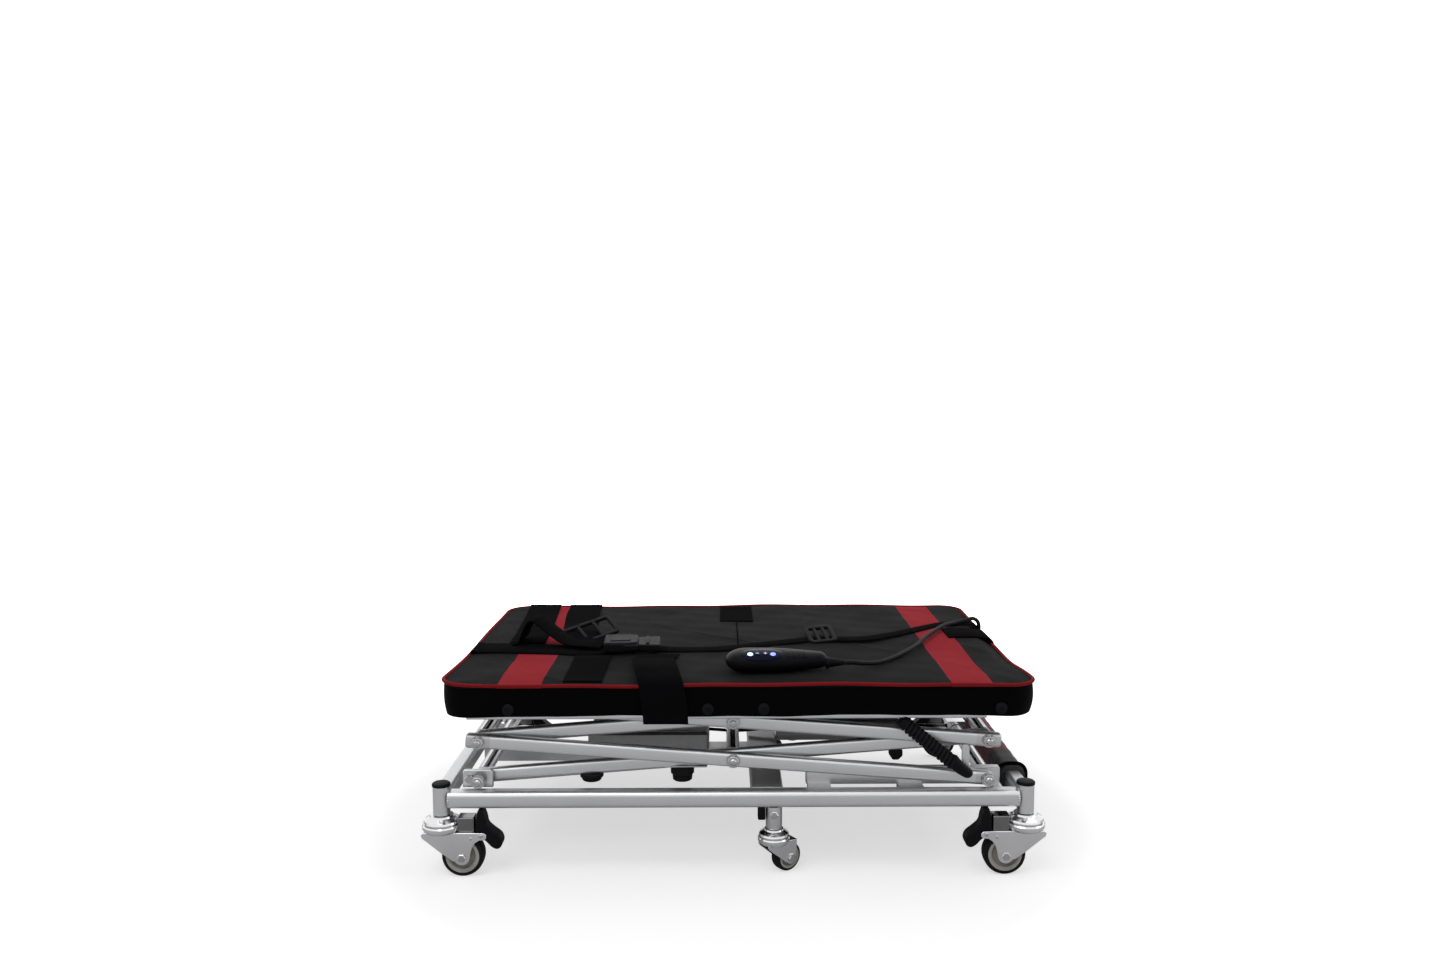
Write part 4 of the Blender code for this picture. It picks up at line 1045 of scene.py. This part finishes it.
def castor(tail, radius, width, race, race_top, cheek_in, cheek_out, outline, fork_node, wheel_node,
           fork_body, wheel_body,
           swivel, roll):
    place, along, across, trail = castor_frame(swivel, roll)
    chrome = finish(chromed_steel)
    hub = place(np.array([[trail, 0, radius]]))[0]
    half = width / 2
    tread = [(0, radius * 0.70), (-half, radius * 0.74), (-half, radius * 0.86)]
    arc = np.linspace(-1, 1, 15)
    tread += [(half * a, radius * (0.86 + 0.14 * math.sqrt(1 - min(1, a * a) ** 2) ** 0.7)) for a in arc]
    tread += [(half, radius * 0.74), (0, radius * 0.70)]
    turned("tyre" + tail, tread, hub, across, finish(tyre_rubber), wheel_body, (wheel_node,), 56)
    for word, side in (("a", -1), ("b", 1)):
        disc = [(0, radius * 0.60), (0, radius * 0.80), (half - 1.5, radius * 0.80),
                (half + 0.2, radius * 0.79), (half + 0.4, radius * 0.68), (half - 0.6, radius * 0.62),
                (half - 3.0, radius * 0.60), (half - 3.2, radius * 0.55)]
        turned(f"rim{tail}_{word}", disc + [(half - 5, radius * 0.5)], hub, across * side,
               finish(pale_hub), wheel_body,
               sides=48)
        middle = [(half - 5, radius * 0.60), (half - 2.4, radius * 0.57), (half - 2.0, radius * 0.42),
                  (half - 0.8, radius * 0.36),
                  (half + 0.2, radius * 0.26), (half + 0.2, radius * 0.1)]
        turned(f"hub{tail}_{word}", middle, hub, across * side, finish(dark_hub), wheel_body,
               sides=40)
    turned("hub_core" + tail, [(-half + 5.4, radius * 0.72), (half - 5.4, radius * 0.72)], hub, across,
           finish(dark_hub), wheel_body,
           sides=40)
    bottom = race_top - 19.0 if race > 20 else race_top - 17.5
    height = race_top - bottom
    ring = [(bottom, race * 0.86), (bottom + height * 0.10, race * 0.95), (bottom + height * 0.20, race),
            (bottom + height * 0.38, race), (bottom + height * 0.47, race * 0.95),
            (bottom + height * 0.50, race * 0.86),
            (bottom + height * 0.55, race * 0.86), (bottom + height * 0.60, race * 0.93),
            (bottom + height * 0.72, race * 0.90),
            (bottom + height * 0.84, race * 0.72), (bottom + height * 0.9, race * 0.62),
            (race_top, race * 0.58), (race_top, 1.0)]
    turned("race" + tail, ring, place(np.zeros((1, 3)))[0], (0, 0, 1), chrome, fork_body,
           (fork_node,), 56, 24)
    for word, side in (("a", -1), ("b", 1)):
        cheek = lambda v, side=side: place(np.stack([v[:, 0], side * v[:, 2], v[:, 1]], 1))
        plate(f"cheek{tail}_{word}", outline, cheek_in, cheek_out, cheek, chrome, fork_body,
              bevel=0.7)
        side_axis = across * side
        at = hub + side_axis * (cheek_out - 0.2)
        turned(f"axle_nut{tail}_{word}", [(0, 5.2), (2.2, 5.2), (3.0, 4.2), (3.1, 0.3)], at, side_axis,
               zinc(), fork_body,
               sides=6)
    return place, along, across


def corner_outline():
    """Side profile of a corner castor's cheek: crown, sloping back, axle lobe and the rounded ear."""
    lobe = np.radians(np.linspace(210, 355, 12))
    ear = np.radians(np.linspace(-80, 85, 10))
    points = [(-21, 54.4), (-22.5, 52), (-21.5, 48.5), (-14, 42.5), (2, 29.5), (14, 20.6)]
    points += list(zip(25 + 9.4 * np.cos(lobe), 25 + 9.4 * np.sin(lobe)))
    points += [(35.4, 30), (37.4, 37), (41, 42.5), (46, 45.6)]
    points += list(zip(50 + 4.4 * np.cos(ear), 50 + 4.4 * np.sin(ear)))
    return points + [(40, 54.6), (-18, 54.8)]


def pedal_outline():
    points = [(43.5, 79), (46, 81), (49, 79.5), (52.5, 71), (54.5, 62), (61, 55.5), (69, 49), (72, 42),
              (70, 35.5), (65, 33.5),
              (59, 36.5), (51.5, 44), (44, 45.5), (41, 51), (41, 62), (42, 72)]
    loop = spline(points + points[:1], 60)[:-1]
    return loop


def corner_castors():
    black = black_plastic()
    for side_word in ("near", "far"):
        for end_word in ("left", "right"):
            tail = f"_{side_word}_{end_word}"
            fork_body = "castor" + tail
            place, along, across = castor(tail, 25.0, 18.0, 23.0, 73.0, 10.4, 13.0, corner_outline(),
                                          "castor_fork" + tail,
                                          "castor_wheel" + tail, fork_body, "wheel" + tail,
                                          "swivel" + tail, "roll" + tail)
            flat = lambda v: place(v)
            plate("crown" + tail, rounded_profile(60, 25.6, 3, 3) + np.array([10.0, 0]), 51.4, 54.8, flat,
                  finish(chromed_steel),
                  fork_body, bevel=0.9)
            plate("brake_housing" + tail, rounded_profile(20.5, 18, 2, 3) + np.array([29.5, 0]), 54.6,
                  71.5, flat,
                  finish(chromed_steel, "dark_steel", 0.16), fork_body, bevel=1.2)
            for word, x, z, radius in (("pin", 48.0, 51.0, 2.4), ("rivet", 36.0, 48.0, 1.8)):
                for side in (-1, 1):
                    at = place(np.array([[x, side * 12.8, z]]))[0]
                    turned(f"{word}{tail}_{'a' if side < 0 else 'b'}",
                           [(0, radius), (0.9, radius), (1.3, radius * 0.7), (1.3, 0.2)],
                           at, across * side, zinc(), fork_body, sides=18)
            upright = lambda v: place(np.stack([v[:, 0], v[:, 2], v[:, 1]], 1))
            plate("pedal" + tail, pedal_outline(), -9.6, 9.6, upright, black, "pedal" + tail,
                  ("brake_pedal" + tail,), 2.2)


def middle_castors():
    lobe = np.radians(np.linspace(215, 360, 10))
    outline = [(-15, 39.2), (-15.5, 36.5), (-13, 33.2), (10.8, 13.2)]
    outline += list(zip(18 + 7.4 * np.cos(lobe), 17.5 + 7.4 * np.sin(lobe)))
    outline += [(26.3, 28), (26.5, 39.2)]
    for word in ("near", "far"):
        tail = "_middle_" + word
        place, _, _ = castor(tail, 17.5, 14.0, 19.0, 55.0, 8.2, 10.6, outline, "middle_fork_" + word,
                             "middle_wheel_" + word,
                             "middle_castor_" + word, "middle_wheel_" + word, "middle_swivel_" + word,
                             "middle_roll_" + word)
        plate("crown" + tail, rounded_profile(40, 21, 3, 3) + np.array([6.0, 0]), 36.8, 39.4,
              lambda v: place(v),
              finish(chromed_steel), "middle_castor_" + word, bevel=0.8)


# ---------------------------------------------------------------- stage

def area_light(name, place, target, size, power):
    lamp = bpy.data.lights.new(name, 'AREA')
    lamp.shape = 'RECTANGLE'
    lamp.size, lamp.size_y = size
    lamp.energy = power
    made = bpy.data.objects.new(name, lamp)
    made.location = place
    made.rotation_euler = (Vector(target) - Vector(place)).to_track_quat('-Z', 'Y').to_euler()
    bpy.context.scene.collection.objects.link(made)


def seen_directly(tree):
    """1 for camera, glossy and transmission rays."""
    path = tree.nodes.new("ShaderNodeLightPath")
    total = path.outputs["Is Camera Ray"]
    for name in ("Is Glossy Ray", "Is Transmission Ray"):
        both = tree.nodes.new("ShaderNodeMath")
        both.operation = 'MAXIMUM'
        tree.links.new(total, both.inputs[0])
        tree.links.new(path.outputs[name], both.inputs[1])
        total = both.outputs[0]
    return total


def stage():
    scene = bpy.context.scene
    looks = scene.lift_looks
    scene.view_settings.view_transform = 'Standard'
    world = bpy.data.worlds.new("studio")
    scene.world = world
    world.use_nodes = True
    tree = world.node_tree
    plain = tree.nodes["Background"]
    plain.inputs["Color"].default_value = (1, 1, 1, 1)
    plain.inputs["Strength"].default_value = 0.20
    bright = tree.nodes.new("ShaderNodeBackground")
    bright.inputs["Color"].default_value = (1, 1, 1, 1)
    bright.inputs["Strength"].default_value = 1.4
    mix = tree.nodes.new("ShaderNodeMixShader")
    tree.links.new(seen_directly(tree), mix.inputs[0])
    tree.links.new(plain.outputs[0], mix.inputs[1])
    tree.links.new(bright.outputs[0], mix.inputs[2])
    tree.links.new(mix.outputs[0], tree.nodes["World Output"].inputs[0])

    paper = bpy.data.materials.new("studio_floor")
    paper.use_nodes = True
    nodes = paper.node_tree.nodes
    shader = nodes["Principled BSDF"]
    shader.inputs["Base Color"].default_value = (0.86, 0.86, 0.865, 1)
    shader.inputs["Roughness"].default_value = 0.9
    shader.inputs["Specular IOR Level"].default_value = 0.1
    shine = nodes.new("ShaderNodeEmission")
    shine.inputs["Strength"].default_value = 2.6
    blend = nodes.new("ShaderNodeMixShader")
    links = paper.node_tree.links
    view = nodes.new("ShaderNodeLightPath")
    place = nodes.new("ShaderNodeTexCoord")
    reach_out = nodes.new("ShaderNodeVectorMath")
    reach_out.operation = 'LENGTH'
    fade = nodes.new("ShaderNodeMapRange")
    fade.inputs["From Min"].default_value = 0.45
    fade.inputs["From Max"].default_value = 1.5
    fade.inputs["To Min"].default_value = 0.235
    fade.inputs["To Max"].default_value = 1.0
    share = nodes.new("ShaderNodeMath")
    share.operation = 'MULTIPLY'
    links.new(place.outputs["Object"], reach_out.inputs[0])
    links.new(reach_out.outputs["Value"], fade.inputs["Value"])
    links.new(fade.outputs["Result"], share.inputs[0])
    shine_share = nodes.new("ShaderNodeMath")
    shine_share.operation = 'MULTIPLY_ADD'
    shine_share.inputs[1].default_value = 0.13
    links.new(view.outputs["Is Glossy Ray"], shine_share.inputs[0])
    links.new(view.outputs["Is Camera Ray"], shine_share.inputs[2])
    links.new(shine_share.outputs[0], share.inputs[1])
    paper.node_tree.links.new(share.outputs[0], blend.inputs[0])
    paper.node_tree.links.new(shader.outputs[0], blend.inputs[1])
    paper.node_tree.links.new(shine.outputs[0], blend.inputs[2])
    paper.node_tree.links.new(blend.outputs[0], nodes["Material Output"].inputs[0])
    reach = 12.0
    mesh = bpy.data.meshes.new("floor")
    mesh.from_pydata([(-reach, -reach, 0), (reach, -reach, 0), (reach, reach, 0), (-reach, reach, 0)], [],
                     [(0, 1, 2, 3)])
    mesh.materials.append(paper)
    floor = bpy.data.objects.new("floor", mesh)
    scene.collection.objects.link(floor)

    area_light("key_light", (-0.7, -1.3, 2.1), (0, 0, 0.1), (1.6, 1.2), looks.key_power)
    area_light("top_light", (0.3, 0.5, 2.2), (0, 0, 0.1), (2.4, 1.6), looks.key_power * 0.9)
    area_light("side_light", (2.0, -0.6, 1.0), (0, 0, 0.15), (0.8, 1.4), looks.key_power * 0.3)

    lens = bpy.data.cameras.new("view")
    lens.sensor_width = 36.0
    lens.lens = 36.0 * looks.focal_share
    camera = bpy.data.objects.new("view", lens)
    camera.location = (-0.0116, -1.5317, 0.588)
    aim = Euler((math.radians(90 - 5.28), 0, 0)).to_matrix() @ Matrix.Rotation(math.radians(-0.21), 3, 'Z')
    camera.rotation_euler = aim.to_euler()
    scene.collection.objects.link(camera)
    scene.camera = camera


# ---------------------------------------------------------------- add-on

class LiftLooks(bpy.types.PropertyGroup):
    """Colours and light that a user would change."""
    band_tone: bpy.props.FloatVectorProperty(name="Band colour",
                                             description="The two cross bands on the cover",
                                             subtype='COLOR', size=3, default=(0.40, 0.030, 0.042))
    cloth_tone: bpy.props.FloatVectorProperty(name="Cloth colour", description="The top of the cover",
                                              subtype='COLOR',
                                              size=3, default=(0.0115, 0.0115, 0.0125))
    key_power: bpy.props.FloatProperty(name="Key light", description="Power of the main lamp",
                                       subtype='POWER', default=15.0)
    focal_share: bpy.props.FloatProperty(name="Lens",
                                         description="Focal length as a share of the sensor's width",
                                         default=0.8005)


class LIFT_OT_stage(bpy.types.Operator):
    """Floor, lamps, world and camera"""
    bl_idname = "lift.stage"
    bl_label = "Stage"
    bl_options = {'REGISTER', 'UNDO'}

    def execute(self, context):
        stage()
        return {'FINISHED'}


class LIFT_OT_lead(bpy.types.Operator):
    """The hand control's cord"""
    bl_idname = "lift.lead"
    bl_label = "Hand lead"
    bl_options = {'REGISTER', 'UNDO'}

    def execute(self, context):
        handset_lead()
        return {'FINISHED'}


class LIFT_OT_base(bpy.types.Operator):
    """Rails, end tubes, posts, caps and welds"""
    bl_idname = "lift.base"
    bl_label = "Base frame"
    bl_options = {'REGISTER', 'UNDO'}

    def execute(self, context):
        base_frame()
        return {'FINISHED'}


class LIFT_OT_grip(bpy.types.Operator):
    """Padded carrying grip"""
    bl_idname = "lift.grip"
    bl_label = "Grip"
    bl_options = {'REGISTER', 'UNDO'}

    def execute(self, context):
        grip()
        return {'FINISHED'}


class LIFT_OT_drive(bpy.types.Operator):
    """Actuator, battery box, platform rails and shafts"""
    bl_idname = "lift.drive"
    bl_label = "Drive"
    bl_options = {'REGISTER', 'UNDO'}

    def execute(self, context):
        drive()
        return {'FINISHED'}


class LIFT_OT_castors(bpy.types.Operator):
    """Corner and middle castors with their pedals"""
    bl_idname = "lift.castors"
    bl_label = "Castors"
    bl_options = {'REGISTER', 'UNDO'}

    def execute(self, context):
        corner_castors()
        middle_castors()
        return {'FINISHED'}


class LIFT_OT_arms(bpy.types.Operator):
    """Scissor arms, bolts and rubber stops"""
    bl_idname = "lift.arms"
    bl_label = "Arms"
    bl_options = {'REGISTER', 'UNDO'}

    def execute(self, context):
        arms()
        bolt_heads()
        rubber_stops()
        return {'FINISHED'}


class LIFT_OT_cover(bpy.types.Operator):
    """Padded cover, piping and studs"""
    bl_idname = "lift.cover"
    bl_label = "Cover"
    bl_options = {'REGISTER', 'UNDO'}

    def execute(self, context):
        seat_cover()
        seat_piping()
        skirt_studs()
        return {'FINISHED'}


class LIFT_OT_belts(bpy.types.Operator):
    """Webbing straps, buckle and adjusters"""
    bl_idname = "lift.belts"
    bl_label = "Belts"
    bl_options = {'REGISTER', 'UNDO'}

    def execute(self, context):
        belts()
        buckle()
        return {'FINISHED'}


class LIFT_OT_control(bpy.types.Operator):
    """Hand control with its keys and lights"""
    bl_idname = "lift.control"
    bl_label = "Hand control"
    bl_options = {'REGISTER', 'UNDO'}

    def execute(self, context):
        handset()
        return {'FINISHED'}


class LIFT_OT_curly(bpy.types.Operator):
    """Curly lead and its elbow"""
    bl_idname = "lift.curly"
    bl_label = "Curly lead"
    bl_options = {'REGISTER', 'UNDO'}

    def execute(self, context):
        curly_lead()
        return {'FINISHED'}


OPERATORS = (LIFT_OT_stage, LIFT_OT_lead, LIFT_OT_base, LIFT_OT_grip, LIFT_OT_drive, LIFT_OT_castors,
             LIFT_OT_arms, LIFT_OT_cover, LIFT_OT_belts, LIFT_OT_control, LIFT_OT_curly)


class LIFT_PT_panel(bpy.types.Panel):
    """Lists the steps that build the lift."""
    bl_idname = "LIFT_PT_panel"
    bl_label = "Floor lift"
    bl_space_type = 'VIEW_3D'
    bl_region_type = 'UI'
    bl_category = "Floor lift"

    def draw(self, context):
        for name in ("band_tone", "cloth_tone", "key_power", "focal_share"):
            self.layout.prop(context.scene.lift_looks, name)
        for step in OPERATORS:
            self.layout.operator(step.bl_idname)


CLASSES = (LiftLooks,) + OPERATORS + (LIFT_PT_panel,)


def register():
    for item in CLASSES:
        bpy.utils.register_class(item)
    bpy.types.Scene.lift_looks = bpy.props.PointerProperty(type=LiftLooks)


def unregister():
    del bpy.types.Scene.lift_looks
    for item in reversed(CLASSES):
        bpy.utils.unregister_class(item)


def main():
    register()
    for step in OPERATORS:
        group, name = step.bl_idname.split(".")
        getattr(getattr(bpy.ops, group), name)()


if __name__ == "__main__":
    main()
